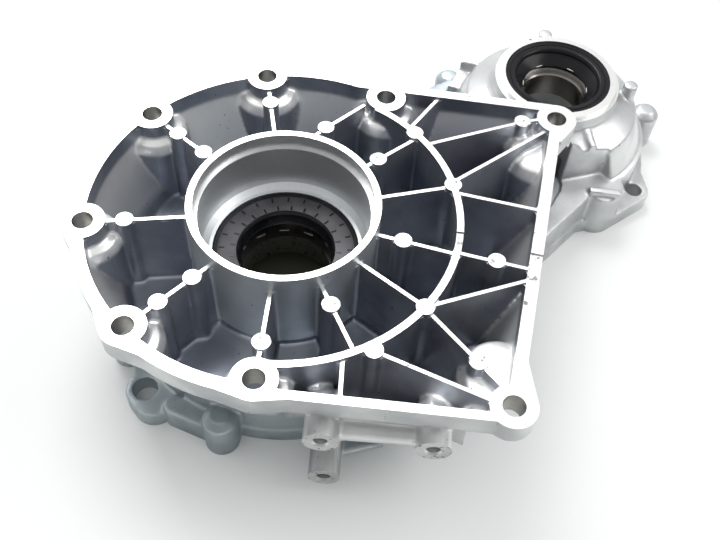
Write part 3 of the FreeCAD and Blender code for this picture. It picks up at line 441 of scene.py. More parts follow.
@dataclass(frozen=True)
class CastFinish:
    """Bare die-cast aluminium from bright blasted skin to darker skin, whose darker copies are painted shade
    in deep pockets and low down and whose lighter copies are painted light.
    """

    name: str
    light: Colour
    dark: Colour
    soil: Colour
    roughness: float
    grain_depth: float
    specks: float = 0.72
    metallic: float = 1.0
    # Painted highlight: the lighter colour that upward faces between two heights take.
    painted_highlight: Colour | None = None
    painted_highlight_heights: tuple[float, float] = (-45.5, -38.0)
    painted_highlight_facing: tuple[float, float] = (-0.02, 0.50)
    gloss_swing: float = 0.08
    bump: float = 0.6

    def add_painted_highlight(self, nodes: Nodes, skin: bpy.types.NodeSocket) -> bpy.types.NodeSocket:
        """The skin's colour with a painted highlight on faces that point upwards above the bell's floor.

        Args:
            nodes: The material's nodes.
            skin: The colour below the painted highlight.

        Returns:
            The colour output.
        """
        place, facing = nodes.add("ShaderNodeSeparateXYZ"), nodes.add("ShaderNodeSeparateXYZ")
        nodes.link(nodes.add("ShaderNodeTexCoord").outputs["Object"], place.inputs["Vector"])
        nodes.link(nodes.add("ShaderNodeNewGeometry").outputs["Normal"], facing.inputs["Vector"])
        low, high = (height * MM for height in self.painted_highlight_heights)
        upward = nodes.band(facing.outputs["Z"], *self.painted_highlight_facing)
        raised = nodes.band(place.outputs["Z"], low, high)
        return nodes.mix(nodes.maths("MULTIPLY", upward, raised), skin, self.painted_highlight)

    def build(self, grain: bpy.types.NodeTree) -> bpy.types.Material:
        """Makes the material.

        Args:
            grain: The cast grain group.

        Returns:
            The material.
        """
        material, nodes = new_material(self.name)
        shader = nodes.add("ShaderNodeBsdfPrincipled")
        effect = nodes.add("ShaderNodeGroup", node_tree=grain)
        effect.inputs["Speck Level"].default_value = self.specks
        skin = nodes.mix(effect.outputs["Flow"], self.dark, self.light)
        # A lighter colour on upward faces: a painted highlight.
        if self.painted_highlight:
            skin = self.add_painted_highlight(nodes, skin)
        nodes.link(nodes.mix(effect.outputs["Specks"], skin, self.soil), shader.inputs["Base Color"])
        rough = nodes.maths("MULTIPLY_ADD", effect.outputs["Flow"], -self.gloss_swing)
        rough.node.inputs[2].default_value = self.roughness + self.gloss_swing / 2.0
        nodes.link(rough, shader.inputs["Roughness"])
        shader.inputs["Metallic"].default_value = self.metallic
        bump = nodes.add("ShaderNodeBump")
        bump.inputs["Strength"].default_value = self.bump
        bump.inputs["Distance"].default_value = self.grain_depth * MM
        nodes.link(effect.outputs["Grain"], bump.inputs["Height"])
        nodes.link(bump.outputs["Normal"], shader.inputs["Normal"])
        nodes.link(shader.outputs["BSDF"], nodes.add("ShaderNodeOutputMaterial").inputs["Surface"])
        return material


@dataclass(frozen=True)
class MachinedFinish:
    """A freshly cut face: bright, with a fine lay and a few open pores."""

    name: str
    bright: Colour
    shade: Colour
    pore: Colour
    roughness: float
    lay_depth: float
    pores: float = 0.72
    bump: float = 0.5

    def build(self, marks: bpy.types.NodeTree) -> bpy.types.Material:
        """Makes the material.

        Args:
            marks: The cutter marks group.

        Returns:
            The material.
        """
        material, nodes = new_material(self.name)
        shader = nodes.add("ShaderNodeBsdfPrincipled")
        effect = nodes.add("ShaderNodeGroup", node_tree=marks)
        effect.inputs["Pore Level"].default_value = self.pores
        face = nodes.mix(effect.outputs["Lay"], self.shade, self.bright)
        nodes.link(nodes.mix(effect.outputs["Pores"], face, self.pore), shader.inputs["Base Color"])
        shader.inputs["Metallic"].default_value = 1.0
        shader.inputs["Roughness"].default_value = self.roughness
        bump = nodes.add("ShaderNodeBump")
        bump.inputs["Strength"].default_value = self.bump
        bump.inputs["Distance"].default_value = self.lay_depth * MM
        nodes.link(effect.outputs["Lay"], bump.inputs["Height"])
        nodes.link(bump.outputs["Normal"], shader.inputs["Normal"])
        nodes.link(shader.outputs["BSDF"], nodes.add("ShaderNodeOutputMaterial").inputs["Surface"])
        return material


@dataclass(frozen=True)
class RubberFinish:
    """Moulded seal rubber, dulled by a film of dust; its light copy for the lip bars is a painted highlight.
    """

    name: str
    colour: Colour
    dust: Colour
    roughness: float
    sheen: float = 0.5
    dust_scale: float = 60.0

    def build(self, grain: bpy.types.NodeTree) -> bpy.types.Material:
        """Makes the material.

        Args:
            grain: The cast grain group, used here for the dust.

        Returns:
            The material.
        """
        material, nodes = new_material(self.name)
        shader = nodes.add("ShaderNodeBsdfPrincipled")
        effect = nodes.add("ShaderNodeGroup", node_tree=grain)
        effect.inputs["Flow Scale"].default_value = self.dust_scale
        skin = nodes.mix(effect.outputs["Flow"], self.colour, self.dust)
        nodes.link(skin, shader.inputs["Base Color"])
        shader.inputs["Roughness"].default_value = self.roughness
        shader.inputs["Specular IOR Level"].default_value = self.sheen
        nodes.link(shader.outputs["BSDF"], nodes.add("ShaderNodeOutputMaterial").inputs["Surface"])
        return material


class Surface(Enum):
    """The finishes that the casting's faces take, in the order of its material slots."""

    OUTSIDE = 0
    SHADED_POCKET = 1
    MACHINED = 2
    PAD = 3
    BORE = 4
    LOWER = 5
    HUB = 6
    HOLE = 7
    SHADED_LOW_BORE = 8
    LIT_FOOT = 9


@dataclass
class FlangeOutline:
    """The D-shaped inner edge of the bell flange, in millimetres."""

    mouth_radius: float = 101.5
    bolt_circle: float = 102.0
    first_angle: float = 61.5
    foot_bolt: PlanPoint = (-2.7, -99.6)
    lower_bolt: PlanPoint = (114.9, -103.3)
    upper_bolt: PlanPoint = (146.7, 82.6)
    reaches: tuple[float, float, float] = (3.9, -3.0, 5.5)
    taper: float = 0.4
    taper_top: float = -10.0

    def rows(self) -> list[tuple[float, float, float]]:
        """The straight sides as outward normals and distances from the hub axis."""
        last = polar(self.bolt_circle, self.first_angle)
        corners = [self.foot_bolt, self.lower_bolt, self.upper_bolt, last]
        lines = []
        for start, end, reach in zip(corners, corners[1:], self.reaches):
            length = math.hypot(end[0] - start[0], end[1] - start[1])
            nx, ny = (end[1] - start[1]) / length, (start[0] - end[0]) / length
            lines.append((nx, ny, start[0] * nx + start[1] * ny + reach))
        return lines

    def inside(self, places: np.ndarray, grow: float) -> np.ndarray:
        """Which places lie within the bell's tapering mouth.

        Args:
            places: Points in millimetres, one a row.
            grow: How far outside the inner wall still counts.

        Returns:
            True or False for each place.
        """
        reach = grow - self.taper * np.clip(self.taper_top - places[:, 2], 0.0, None)
        round_part = np.hypot(places[:, 0], places[:, 1]) < self.mouth_radius + reach
        flat_part = np.ones(len(places), bool)
        for nx, ny, distance in self.rows():
            flat_part &= places[:, 0] * nx + places[:, 1] * ny < distance + reach
        start, end = self.foot_bolt, polar(self.bolt_circle, self.first_angle)
        across = (end[0] - start[0]) * (places[:, 1] - start[1])
        along = (end[1] - start[1]) * (places[:, 0] - start[0])
        return round_part | (flat_part & (across - along < 0.0))


@dataclass(frozen=True)
class FaceLimits:
    """Where the casting's finishes end, in millimetres and in shares of a face's normal."""

    margin: float = 0.3
    fine_margin: float = 0.2
    upward: float = 0.9
    chamfer_upward: float = 0.8
    frontward: float = 0.95
    foot_reach: float = 20.0
    foot_side: float = 5.0
    foot_heights: tuple[float, float] = (-60.0, -15.0)
    foot_end_depth: float = 0.4
    lower_top: float = -50.0
    lower_side: float = 130.0
    mouth_grow: float = 1.6
    mouth_low: float = -51.5
    bell_floor: float = -46.0
    hub_skin: float = 51.5
    hub_bore: float = 46.9
    hub_low: float = -84.0
    hub_step: float = -9.5
    rim_radii: tuple[float, float] = (46.0, 50.2)
    rim_low: float = 6.5
    ledge_reach: float = 36.0
    ledge_span: tuple[float, float] = (-0.5, 0.05)
    bar_reach: float = 32.0
    bar_span: tuple[float, float] = (0.1, 0.5)
    ring_bore: float = 36.3
    ring_top: float = 38.8
    ring_top_depth: float = 3.2
    flange_low: float = -1.8
    pad_heights: tuple[float, float] = (-1.05, -0.4)


@dataclass
class Casting:
    """The housing casting: soft cast skin with crisp machined faces, in millimetres."""

    node: str = "housing"
    voxel: float = 0.95
    soften: int = 7
    keep_share: float = 0.16
    crisp_depth: float = 2.8
    overlap: float = 0.35
    joint_face: float = -85.0
    hub_wall: float = 48.0
    ring_radius: float = 40.5
    ring_face: float = -14.5
    bolt_hole: float = 5.5
    flange_thickness: float = 14.0
    outline: FlangeOutline = field(default_factory=FlangeOutline)
    round_bolts: tuple[float, ...] = (61.5, 102.0, 142.5, 189.5, 229.0)
    foot_face: float = -116.5
    web_top: float = -54.0
    web_bore: float = 25.0
    web_chamfer: float = 1.1
    web_chamfer_fall: float = 0.36
    ledge_bars: tuple[float, float, int] = (29.9, 126.5, 13)
    ledge_bar: tuple[float, float, float] = (0.9, 5.6, 0.5)
    zone_corners: tuple[float, float] = (-140.0, 240.0)
    joint_corners: tuple[float, float] = (-150.0, 260.0)
    foot_block: tuple[PlanPoint, PlanPoint] = ((-20.0, -80.0), (110.0, -8.0))
    foot_depths: tuple[float, float] = (6.0, 2.0)
    zone_top: float = 20.0
    ring_crisp_depth: float = 4.5
    joint_crisp_depth: float = 1.6
    output_bore: float = 37.5
    bolt_post: float = 8.0
    post_sides: int = 128
    limits: FaceLimits = field(default_factory=FaceLimits)

    def bolts(self) -> list[PlanPoint]:
        """The bolt centres of the bell flange."""
        flats = [self.outline.foot_bolt, self.outline.lower_bolt, self.outline.upper_bolt]
        return [polar(self.outline.bolt_circle, angle) for angle in self.round_bolts] + flats

    def crisp_zone(self, name: str, shrink: float) -> bpy.types.Object:
        """The space in which the casting keeps its machined edges.

        Args:
            name: The zone's name.
            shrink: How far the zone's faces are moved inwards.

        Returns:
            One closed mesh.
        """
        # The parts' tops and feet differ, so that no two of their flat faces share a plane.
        top, low = self.zone_top, self.joint_face - 5.0
        (near, far), (joint_near, joint_far) = self.zone_corners, self.joint_corners
        (foot_left, foot_low), (foot_right, foot_high) = self.foot_block
        foot_front, foot_back = self.foot_face - self.foot_depths[0], self.foot_face + self.foot_depths[1]
        ring_low = self.ring_face - self.ring_crisp_depth + shrink
        joint_top = self.joint_face + self.joint_crisp_depth - shrink
        bolt_low = -self.flange_thickness - 1.0 + shrink
        zone = Tools.block((near, near, -self.crisp_depth + shrink), (far, far, top))
        zone.name = name
        parts = [
            Tools.post(HUB_AXIS, self.hub_wall - shrink, low, top - 5.0, self.post_sides),
            Tools.post(OUTPUT_AXIS, self.ring_radius - shrink, ring_low, top - 4.0, self.post_sides),
            Tools.post(OUTPUT_AXIS, self.output_bore - shrink, low + 1.0, top - 6.0, self.post_sides),
            Tools.block((joint_near, joint_near, low + 0.5), (joint_far, joint_far, joint_top)),
            Tools.block((foot_left, foot_front, foot_low), (foot_right, foot_back - shrink, foot_high)),
        ]
        for bolt in self.bolts():
            parts.append(Tools.post(bolt, self.bolt_post - shrink, bolt_low, top - 7.0))
        for part in parts:
            Tools.boolean(zone, part, "UNION")
        return zone

    def soft_skin(self, source: bpy.types.Object) -> bpy.types.Object:
        """The whole casting with its edges and inner corners rounded as a mould leaves them."""
        skin = Tools.copy(source, "cast_skin")
        remesh = skin.modifiers.new("Remesh", "REMESH")
        remesh.mode = "VOXEL"
        remesh.voxel_size = self.voxel * MM
        bpy.ops.object.modifier_apply(modifier=remesh.name)
        relax = skin.modifiers.new("Relax", "SMOOTH")
        relax.factor = 0.5
        relax.iterations = self.soften
        bpy.ops.object.modifier_apply(modifier=relax.name)
        thin = skin.modifiers.new("Thin", "DECIMATE")
        thin.ratio = self.keep_share
        bpy.ops.object.modifier_apply(modifier=thin.name)
        LOG.info("cast skin: %d faces", len(skin.data.polygons))
        return skin

    def finish_web(self, casting: bpy.types.Object) -> None:
        """Breaks the edge of the web's bore and raises the small bars on the ledge round it."""
        slope, over = self.web_chamfer_fall / self.web_chamfer, self.limits.fine_margin
        near, far = self.web_bore - self.limits.margin, self.web_bore + self.web_chamfer
        high, low = self.web_top + over, self.web_top - slope * (far - near)
        edge = [(near, high), (far + over / slope, high), (near, low)]
        Tools.boolean(casting, Tools.turned("web_edge", edge, HUB_AXIS, 96), "DIFFERENCE")
        radius, start, count = self.ledge_bars
        middles = [polar(radius, start + 360.0 * k / count) for k in range(count)]
        bars = [Tools.bar(middle, self.web_top, self.ledge_bar) for middle in middles]
        Tools.boolean(casting, Tools.join(bars, "ledge_bars"), "UNION")

    def build(self) -> bpy.types.Object:
        """Models the casting from the CAD node.

        Returns:
            The finished mesh, still without finishes.
        """
        source = bpy.data.objects[self.node]
        casting = self.soft_skin(source)
        Tools.boolean(casting, self.crisp_zone("soft_cut", self.overlap), "DIFFERENCE")
        crisp = Tools.copy(source, "crisp_faces")
        Tools.boolean(crisp, self.crisp_zone("crisp_cut", 0.0), "INTERSECT")
        LOG.info("crisp faces: %d faces", len(crisp.data.polygons))
        Tools.boolean(casting, crisp, "UNION")
        self.finish_web(casting)
        casting.name = "housing_casting"
        casting.data.name = "housing_casting"
        return casting

    @staticmethod
    def within(values: np.ndarray, span: tuple[float, float]) -> np.ndarray:
        """Which values lie between two limits."""
        return (values > span[0]) & (values < span[1])

    def sort_faces(self, casting: bpy.types.Object) -> np.ndarray:
        """Which surface each face of the casting belongs to.

        Args:
            casting: The casting's mesh.

        Returns:
            The value of Surface for each face.
        """
        count = len(casting.data.polygons)
        places, normals = np.empty(count * 3), np.empty(count * 3)
        casting.data.polygons.foreach_get("center", places)
        casting.data.polygons.foreach_get("normal", normals)
        places, normals = places.reshape(-1, 3) / MM, normals.reshape(-1, 3)
        (x, y, z), limits = places.T, self.limits
        up = normals[:, 2] > limits.upward
        hub = np.hypot(x, y)
        ring = np.hypot(x - OUTPUT_AXIS[0], y - OUTPUT_AXIS[1])
        above_web = z - self.web_top
        surface = np.full(count, Surface.OUTSIDE.value)
        # The bosses in front take a lighter finish, which is painted light.
        foot = (y < self.foot_face + limits.foot_reach) & (x > limits.foot_side)
        surface[foot & self.within(z, limits.foot_heights)] = Surface.LIT_FOOT.value
        # The lower casing takes a darker finish, which is painted shade.
        surface[(z < limits.lower_top) & (x < limits.lower_side) & ~foot] = Surface.LOWER.value
        # The bell's pockets take the darker pocket finish, which is painted shade.
        in_bell = self.outline.inside(places, limits.mouth_grow) & (z > limits.mouth_low)
        surface[in_bell] = Surface.SHADED_POCKET.value
        surface[in_bell & (hub < limits.hub_skin) & (z > limits.bell_floor)] = Surface.HUB.value
        in_hub = hub < limits.hub_bore
        surface[in_hub & (z > limits.hub_low)] = Surface.BORE.value
        # The web's bore below its top takes a near-black finish, which is painted shade.
        surface[(hub < self.web_bore + limits.margin) & (z < self.web_top)] = Surface.SHADED_LOW_BORE.value
        # The ledge round the web's bore takes the darker drilled-hole finish, as painted shade round its
        # bright bars.
        ledge = (hub < limits.ledge_reach) & self.within(above_web, limits.ledge_span)
        surface[ledge] = Surface.HOLE.value
        edge = (hub < self.web_bore + self.web_chamfer) & (z < self.web_top)
        surface[edge & (normals[:, 2] > limits.chamfer_upward)] = Surface.MACHINED.value
        bars = (hub < limits.bar_reach) & self.within(above_web, limits.bar_span)
        surface[bars | (in_hub & up & (z > limits.hub_step))] = Surface.MACHINED.value
        surface[(ring < limits.ring_bore) & (z < self.ring_face - limits.margin)] = Surface.BORE.value
        surface[up & (z > limits.flange_low)] = Surface.MACHINED.value
        surface[up & self.within(z, limits.pad_heights)] = Surface.PAD.value
        ring_top = (ring < limits.ring_top) & (z > self.ring_face - limits.ring_top_depth)
        surface[ring_top | (z < self.joint_face + limits.fine_margin)] = Surface.MACHINED.value
        foot_ends = (y < self.foot_face + limits.foot_end_depth) & (normals[:, 1] < -limits.frontward)
        surface[foot_ends] = Surface.PAD.value
        surface[self.within(hub, limits.rim_radii) & (z > limits.rim_low)] = Surface.MACHINED.value
        in_flange = z > -self.flange_thickness - limits.fine_margin
        for bolt in self.bolts():
            near = np.hypot(x - bolt[0], y - bolt[1]) < self.bolt_hole + limits.margin
            surface[near & in_flange] = Surface.HOLE.value
        return surface

    def dress(self, casting: bpy.types.Object, materials: list[bpy.types.Material]) -> None:
        """Gives each face its finish.

        Args:
            casting: The casting's mesh.
            materials: One material for each member of Surface, in its order.
        """
        casting.data.materials.clear()
        for material in materials:
            casting.data.materials.append(material)
        casting.data.polygons.foreach_set("material_index", self.sort_faces(casting).astype(np.int32))
        casting.data.update()
        Tools.smooth(casting)


@dataclass
class LipSeal:
    """A rubber-covered shaft seal with its moulded face marks, in millimetres."""

    node: str
    centre: PlanPoint
    face: float
    outer: float
    dust_lip: float
    lip: float
    width: float = 12.0
    case: float = 2.8
    mark_rows: tuple[tuple[float, float, int], ...] = ()
    mark_size: tuple[float, float, float] = (3.0, 0.9, 0.4)
    face_edges: tuple[float, float] = (1.6, 2.4)
    glint_start: float = 56.5
    glint_count: int = 0
    glint_size: tuple[float, float, float] = (0.5, 4.4, 0.9)
    glint_depth: float = 8.2
    glint_inset: float = 0.4
    face_depth: float = 1.0

    def profile(self) -> Profile:
        """The half section, with rounded lips."""
        top, inside = self.face, self.face - self.case
        groove = self.face - self.width * 0.7
        return [
            (self.outer, top - 0.5),
            (self.outer, top - self.width + 0.5),
            (self.outer - 0.5, top - self.width),
            (self.outer - self.case, top - self.width),
            (self.outer - self.case, inside),
            (self.dust_lip + self.case + 1.4, inside),
            (self.lip + 1.9, groove + 0.8),
            (self.lip + 1.9, groove - 2.0),
            (self.lip + 0.3, groove - 0.3),
            (self.lip, groove),
            (self.lip + 0.5, groove + 0.6),
            (self.dust_lip + 1.3, inside + 0.1),
            (self.dust_lip + 1.2, inside + 0.3),
            (self.dust_lip + 0.1, top - 2.2),
            (self.dust_lip, top - 2.0),
            (self.dust_lip + 0.15, top - 1.7),
            (self.dust_lip + 1.2, top - 0.15),
            (self.dust_lip + 1.5, top),
            (self.outer - 3.4, top),
            (self.outer - 3.2, top - 0.35),
            (self.outer - 2.7, top - 0.35),
            (self.outer - 2.5, top),
            (self.outer - 0.5, top),
        ]

    def ring(self, face: bpy.types.Material, lips: bpy.types.Material) -> bpy.types.Object:
        """The seal's body, with its flat face apart from its lips and its outer edge.

        Args:
            face: The finish of the flat face.
            lips: The finish of the rest.

        Returns:
            The ring.
        """
        ring = Tools.turned(f"{self.node}_ring", self.profile(), self.centre)
        ring.data.materials.append(face)
        ring.data.materials.append(lips)
        for polygon in ring.data.polygons:
            place = polygon.center / MM
            radius = math.hypot(place[0] - self.centre[0], place[1] - self.centre[1])
            flat = self.dust_lip + self.face_edges[0] < radius < self.outer - self.face_edges[1]
            polygon.material_index = 0 if flat and place[2] > self.face - self.face_depth else 1
        return ring

    def build(
        self, face: bpy.types.Material, mark: bpy.types.Material, glint: bpy.types.Material
    ) -> bpy.types.Object:
        """Models the seal with its face marks and the bars at its lip as one piece.

        Args:
            face: The finish of the seal's flat face.
            mark: The finish of its lips and of the marks on its face.
            glint: The light finish of the bars at its lip, a painted highlight.

        Returns:
            The seal.
        """
        pieces = [self.ring(face, mark)]
        for radius, start, count in self.mark_rows:
            for k in range(count):
                middle = polar(radius, start + 360.0 * k / count, self.centre)
                pieces.append(Tools.bar(middle, self.face, self.mark_size, self.centre))
                pieces[-1].data.materials.append(mark)
        for k in range(self.glint_count):
            angle = self.glint_start + 360.0 * k / self.glint_count
            middle = polar(self.lip + self.glint_inset, angle, self.centre)
            height = self.face - self.glint_depth
            pieces.append(Tools.bar(middle, height, self.glint_size, self.centre))
            pieces[-1].data.materials.append(glint)
        seal = Tools.join(pieces, f"{self.node}_moulding")
        Tools.smooth(seal)
        return seal


class Studio:
    """The floor, the lights, the world and the camera."""

    FLOOR_SIZE = 4.0
    FLOOR_COLOUR: Colour = (0.80, 0.82, 0.81)
    BACK_COLOUR: Colour = (0.94, 0.96, 0.95)
    HORIZON_STRENGTH = 0.22
    SKY_STRENGTH = 0.62
    SKY_BAND = (-0.1, 0.95)
    # The floor's glow is dimmed by ambient occlusion: a painted shadow round the part.
    SHADE_SAMPLES = 8
    SHADE_REACH = 0.13
    SHADE_POWER = 2.0
    SKY_TILT = 0.40
    GLOW_SHARE = 0.62
    # A painted pool of light on the floor under the output bore.
    BORE_LIGHT_RADII = (0.034, 0.018)
    BORE_LIGHT_SHARE = 0.7
    BORE_LIGHT_PLACE = (0.177, 0.196)
    # Painted shade: a dark olive patch on the floor under the hub.
    GEAR_SPACE_SHADE_COLOUR = (0.11, 0.11, 0.085)
    GEAR_SPACE_SHADE_PLACE = (0.0, 0.026)
    GEAR_SPACE_SHADE_RADII = (0.060, 0.045)
    CAMERA_PLACE = Vector((41.25, -292.77, 353.58)) * MM
    CAMERA_RIGHT = Vector((0.99706268, 0.06186154, 0.04515705))
    CAMERA_UP = Vector((-0.07658988, 0.80532619, 0.58786369))
    CAMERA_LENS = 44.374
    SENSOR_WIDTH = 36.0
    CLIP_RANGE = (0.01, 20.0)
    LAMP_AIM = Vector((0.05, 0.03, -0.03))
    LAMPS = (
        ("key_light", (-0.30, 0.80, 1.10), 0.8, 19.0),
        ("fill_light", (0.95, 0.1, 0.8), 0.7, 5.0),
    )

    def floor(self, level: float) -> bpy.types.Object:
        """A pale floor that keeps the part's shadow, with its glow dimmed round the part as painted shadow,
        painted shade under the hub and a painted pool of light under the output bore.

        Args:
            level: The floor's height in metres.

        Returns:
            The floor.
        """
        Tools.deselect()
        bpy.ops.mesh.primitive_plane_add(size=self.FLOOR_SIZE, location=(0.0, 0.0, level))
        floor = bpy.context.object
        floor.name = "studio_floor"
        Tools.settle(floor)
        material, nodes = new_material("studio_floor")
        diffuse = nodes.add("ShaderNodeBsdfDiffuse")
        place = nodes.add("ShaderNodeTexCoord").outputs["Object"]
        # Painted shade: the floor is darkened to olive under the hub, and its glow is taken away there.
        gear_space_distance = nodes.add("ShaderNodeVectorMath", operation="DISTANCE")
        nodes.link(place, gear_space_distance.inputs[0])
        gear_space_distance.inputs[1].default_value = (*self.GEAR_SPACE_SHADE_PLACE, level)
        dark = nodes.band(gear_space_distance.outputs["Value"], *self.GEAR_SPACE_SHADE_RADII)
        colour = nodes.mix(dark, self.FLOOR_COLOUR, self.GEAR_SPACE_SHADE_COLOUR)
        nodes.link(colour, diffuse.inputs["Color"])
        glow = nodes.add("ShaderNodeEmission")
        glow.inputs["Color"].default_value = (*self.BACK_COLOUR, 1.0)
        path = nodes.add("ShaderNodeLightPath")
        # Painted shadow: the glow is dimmed by ambient occlusion near the part.
        shade = nodes.add("ShaderNodeAmbientOcclusion", samples=self.SHADE_SAMPLES)
        shade.inputs["Distance"].default_value = self.SHADE_REACH
        open_share = nodes.maths("POWER", shade.outputs["AO"], self.SHADE_POWER)
        # Painted light: the glow is raised in a pool under the output bore.
        gap = nodes.add("ShaderNodeVectorMath", operation="DISTANCE")
        nodes.link(place, gap.inputs[0])
        gap.inputs[1].default_value = (*self.BORE_LIGHT_PLACE, level)
        bright = nodes.band(gap.outputs["Value"], *self.BORE_LIGHT_RADII)
        painted_light_pool = nodes.maths("MULTIPLY", bright, self.BORE_LIGHT_SHARE)
        lit = nodes.maths("SUBTRACT", nodes.maths("MAXIMUM", open_share, painted_light_pool), dark)
        lit.node.use_clamp = True
        seen = nodes.maths("MULTIPLY", path.outputs["Is Camera Ray"], lit)
        share = nodes.maths("MULTIPLY", seen, self.GLOW_SHARE)
        mixed = nodes.add("ShaderNodeMixShader")
        nodes.link(share, mixed.inputs["Fac"])
        nodes.link(diffuse.outputs["BSDF"], mixed.inputs[1])
        nodes.link(glow.outputs["Emission"], mixed.inputs[2])
        nodes.link(mixed.outputs["Shader"], nodes.add("ShaderNodeOutputMaterial").inputs["Surface"])
        floor.data.materials.append(material)
        floor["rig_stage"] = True
        return floor

    def world(self) -> None:
        """A white world, brighter overhead and behind the part, that is pale where it is seen."""
        world = bpy.data.worlds.new("studio_world")
        bpy.context.scene.world = world
        world.use_nodes = True
        nodes = Nodes(world.node_tree)
        light = nodes.add("ShaderNodeBackground")
        light.inputs["Color"].default_value = (1.0, 1.0, 1.0, 1.0)
        way = nodes.add("ShaderNodeSeparateXYZ")
        nodes.link(nodes.add("ShaderNodeTexCoord").outputs["Generated"], way.inputs["Vector"])
        lean = nodes.maths("MULTIPLY_ADD", way.outputs["Y"], self.SKY_TILT)
        nodes.link(way.outputs["Z"], lean.node.inputs[2])
        rise = nodes.maths("MULTIPLY_ADD", nodes.band(lean, *self.SKY_BAND), self.SKY_STRENGTH)
        rise.node.inputs[2].default_value = self.HORIZON_STRENGTH
        nodes.link(rise, light.inputs["Strength"])
        seen = nodes.add("ShaderNodeBackground")
        seen.inputs["Color"].default_value = (*self.BACK_COLOUR, 1.0)
        seen.inputs["Strength"].default_value = 1.0
        path = nodes.add("ShaderNodeLightPath")
        mixed = nodes.add("ShaderNodeMixShader")
        nodes.link(path.outputs["Is Camera Ray"], mixed.inputs["Fac"])
        nodes.link(light.outputs["Background"], mixed.inputs[1])
        nodes.link(seen.outputs["Background"], mixed.inputs[2])
        nodes.link(mixed.outputs["Shader"], nodes.add("ShaderNodeOutputWorld").inputs["Surface"])

    def lamp(self, name: str, place: tuple[float, float, float], size: float, power: float) -> None:
        """A soft square lamp that faces the part.

        Args:
            name: The lamp's name.
            place: Where it stands, in metres.
            size: The length of its side in metres.
            power: Its power in watts.
        """
        Tools.deselect()
        turn = (self.LAMP_AIM - Vector(place)).to_track_quat("-Z", "Y").to_euler()
        bpy.ops.object.light_add(type="AREA", location=place, rotation=turn)
        lamp = bpy.context.object
        lamp.name = name
        lamp.data.size = size
        lamp.data.energy = power

    def camera(self) -> None:
        """The camera at the photograph's viewing angle."""
        Tools.deselect()
        bpy.ops.object.camera_add(location=self.CAMERA_PLACE)
        camera = bpy.context.object
        camera.name = "photo_camera"
        back = self.CAMERA_RIGHT.cross(self.CAMERA_UP)
        turn = Matrix((self.CAMERA_RIGHT, self.CAMERA_UP, back)).transposed()
        camera.matrix_world = Matrix.Translation(self.CAMERA_PLACE) @ turn.to_4x4()
        camera.data.sensor_width = self.SENSOR_WIDTH
        camera.data.lens = self.CAMERA_LENS
        camera.data.clip_start, camera.data.clip_end = self.CLIP_RANGE
        bpy.context.scene.camera = camera

    def build(self, level: float) -> None:
        """Sets up the whole studio on a floor at a height."""
        self.floor(level)
        self.world()
        for name, place, size, power in self.LAMPS:
            self.lamp(name, place, size, power)
        self.camera()
        bpy.context.scene.view_settings.view_transform = "Standard"


OUTSIDE = CastFinish(
    "cast_outside", (0.68, 0.69, 0.69), (0.50, 0.51, 0.52), (0.20, 0.20, 0.20), 0.46, 0.10
)
# Painted shade: a darker, bluish copy of the cast skin for the lower casing.
LOWER = CastFinish(
    "shaded_cast_lower", (0.54, 0.59, 0.62), (0.34, 0.39, 0.42), (0.12, 0.13, 0.13), 0.44, 0.10, metallic=0.8
)
# Painted shade: a darker, bluish copy of the cast skin for the bell's pockets, with a painted highlight on
# its upward faces.
SHADED_POCKET = CastFinish(
    "shaded_cast_pocket", (0.40, 0.42, 0.46), (0.25, 0.27, 0.32), (0.10, 0.10, 0.11), 0.36, 0.08,
    metallic=0.8, painted_highlight=(0.95, 0.95, 0.94),
)
HUB = CastFinish(
    "cast_hub", (0.72, 0.76, 0.78), (0.56, 0.60, 0.62), (0.22, 0.22, 0.23), 0.42, 0.08, metallic=0.75
)
# Painted shade: a near-black olive copy of the cast skin for the web's bore deep below the seal.
SHADED_LOW_BORE = CastFinish(
    "web_bore", (0.11, 0.11, 0.09), (0.06, 0.06, 0.045), (0.01, 0.01, 0.01), 0.5, 0.05, 0.62, 0.6
)
# Painted light: a lighter copy of the cast skin for the bosses in front, as if lit from above.
LIT_FOOT = CastFinish(
    "lit_cast_foot", (0.80, 0.80, 0.80), (0.62, 0.63, 0.63), (0.24, 0.24, 0.24), 0.44, 0.14, metallic=0.95
)
PAD_FACE = CastFinish(
    "pad_face", (0.70, 0.70, 0.69), (0.54, 0.54, 0.53), (0.25, 0.25, 0.25), 0.48, 0.14, 0.60
)
FLANGE_FACE = MachinedFinish(
    "machined_face", (0.84, 0.84, 0.83), (0.73, 0.73, 0.72), (0.20, 0.20, 0.20), 0.36, 0.02
)
BORE_FACE = MachinedFinish(
    "machined_bore", (0.84, 0.86, 0.87), (0.74, 0.76, 0.77), (0.3, 0.3, 0.3), 0.42, 0.02, 0.85
)
HOLE_FACE = MachinedFinish(
    "drilled_hole", (0.46, 0.44, 0.41), (0.34, 0.32, 0.30), (0.2, 0.2, 0.2), 0.34, 0.03, 0.85
)
BUSH_FACE = MachinedFinish(
    "bush_face", (0.34, 0.31, 0.28), (0.25, 0.23, 0.21), (0.12, 0.11, 0.10), 0.22, 0.01, 0.8
)
SPRING_FACE = MachinedFinish(
    "spring_wire", (0.60, 0.60, 0.61), (0.42, 0.42, 0.43), (0.2, 0.2, 0.2), 0.25, 0.02, 0.9
)
SEAL_RUBBER = RubberFinish("seal_rubber", (0.004, 0.004, 0.005), (0.009, 0.009, 0.011), 0.24, 0.22)
DUSTY_RUBBER = RubberFinish(
    "dusty_seal_rubber", (0.052, 0.050, 0.058), (0.085, 0.082, 0.092), 0.48, 0.4
)
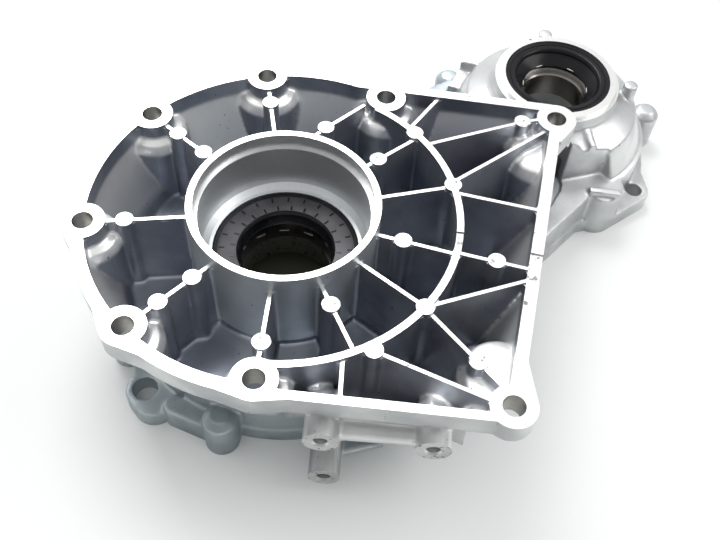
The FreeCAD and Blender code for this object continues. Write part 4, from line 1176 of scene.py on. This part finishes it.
# Painted highlight: a light grey rubber for the bars at the output seal's lip.
GLINT_RUBBER = RubberFinish("painted_glint_rubber", (0.55, 0.54, 0.50), (0.70, 0.69, 0.64), 0.30)

FACE_MARKS = ((35.0, 4.0, 24), (28.9, 0.0, 24))
INPUT_SEAL = LipSeal("input_seal", HUB_AXIS, -33.0, 40.0, 25.6, 24.5, mark_rows=FACE_MARKS)
OUTPUT_SEAL = LipSeal("output_seal", OUTPUT_AXIS, -15.5, 32.5, 25.2, 19.5, glint_count=6)


def place_on_part(piece: bpy.types.Object, slot: str, *nodes: str) -> None:
    """Puts a piece on the root body and hides the CAD nodes that it stands for."""
    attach(piece, "root")
    if nodes:
        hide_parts(*nodes)
    LOG.info("%s: %d faces", piece.name, len(piece.data.polygons))


def paint(node: bpy.types.Object, material: bpy.types.Material) -> None:
    """Gives a CAD node a finish."""
    node.data.materials.clear()
    node.data.materials.append(material)


def main() -> None:
    """Loads the CAD part, dresses it and sets up the studio."""
    logging.basicConfig(level=logging.INFO, format="%(name)s: %(message)s")
    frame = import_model()
    cad_low, cad_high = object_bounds()
    grain, marks = Effects.cast_grain(), Effects.cutter_marks()
    finishes = [
        OUTSIDE.build(grain),
        SHADED_POCKET.build(grain),
        FLANGE_FACE.build(marks),
        PAD_FACE.build(grain),
        BORE_FACE.build(marks),
        LOWER.build(grain),
        HUB.build(grain),
        HOLE_FACE.build(marks),
        SHADED_LOW_BORE.build(grain),
        LIT_FOOT.build(grain),
    ]
    casting_plan = Casting()
    casting = casting_plan.build()
    casting_plan.dress(casting, finishes)
    place_on_part(casting, "casting", "housing")
    clean, glint = SEAL_RUBBER.build(grain), GLINT_RUBBER.build(grain)
    dusty = DUSTY_RUBBER.build(grain)
    for seal, face in ((INPUT_SEAL, dusty), (OUTPUT_SEAL, clean)):
        place_on_part(seal.build(face, clean, glint), "rubber", seal.node)
    paint(frame["nodes"]["output_bush"], BUSH_FACE.build(marks))
    spring = SPRING_FACE.build(marks)
    for name in ("input_seal_spring", "output_seal_spring"):
        paint(frame["nodes"][name], spring)
    Studio().build(cad_low[2])


if __name__ == "__main__":
    main()
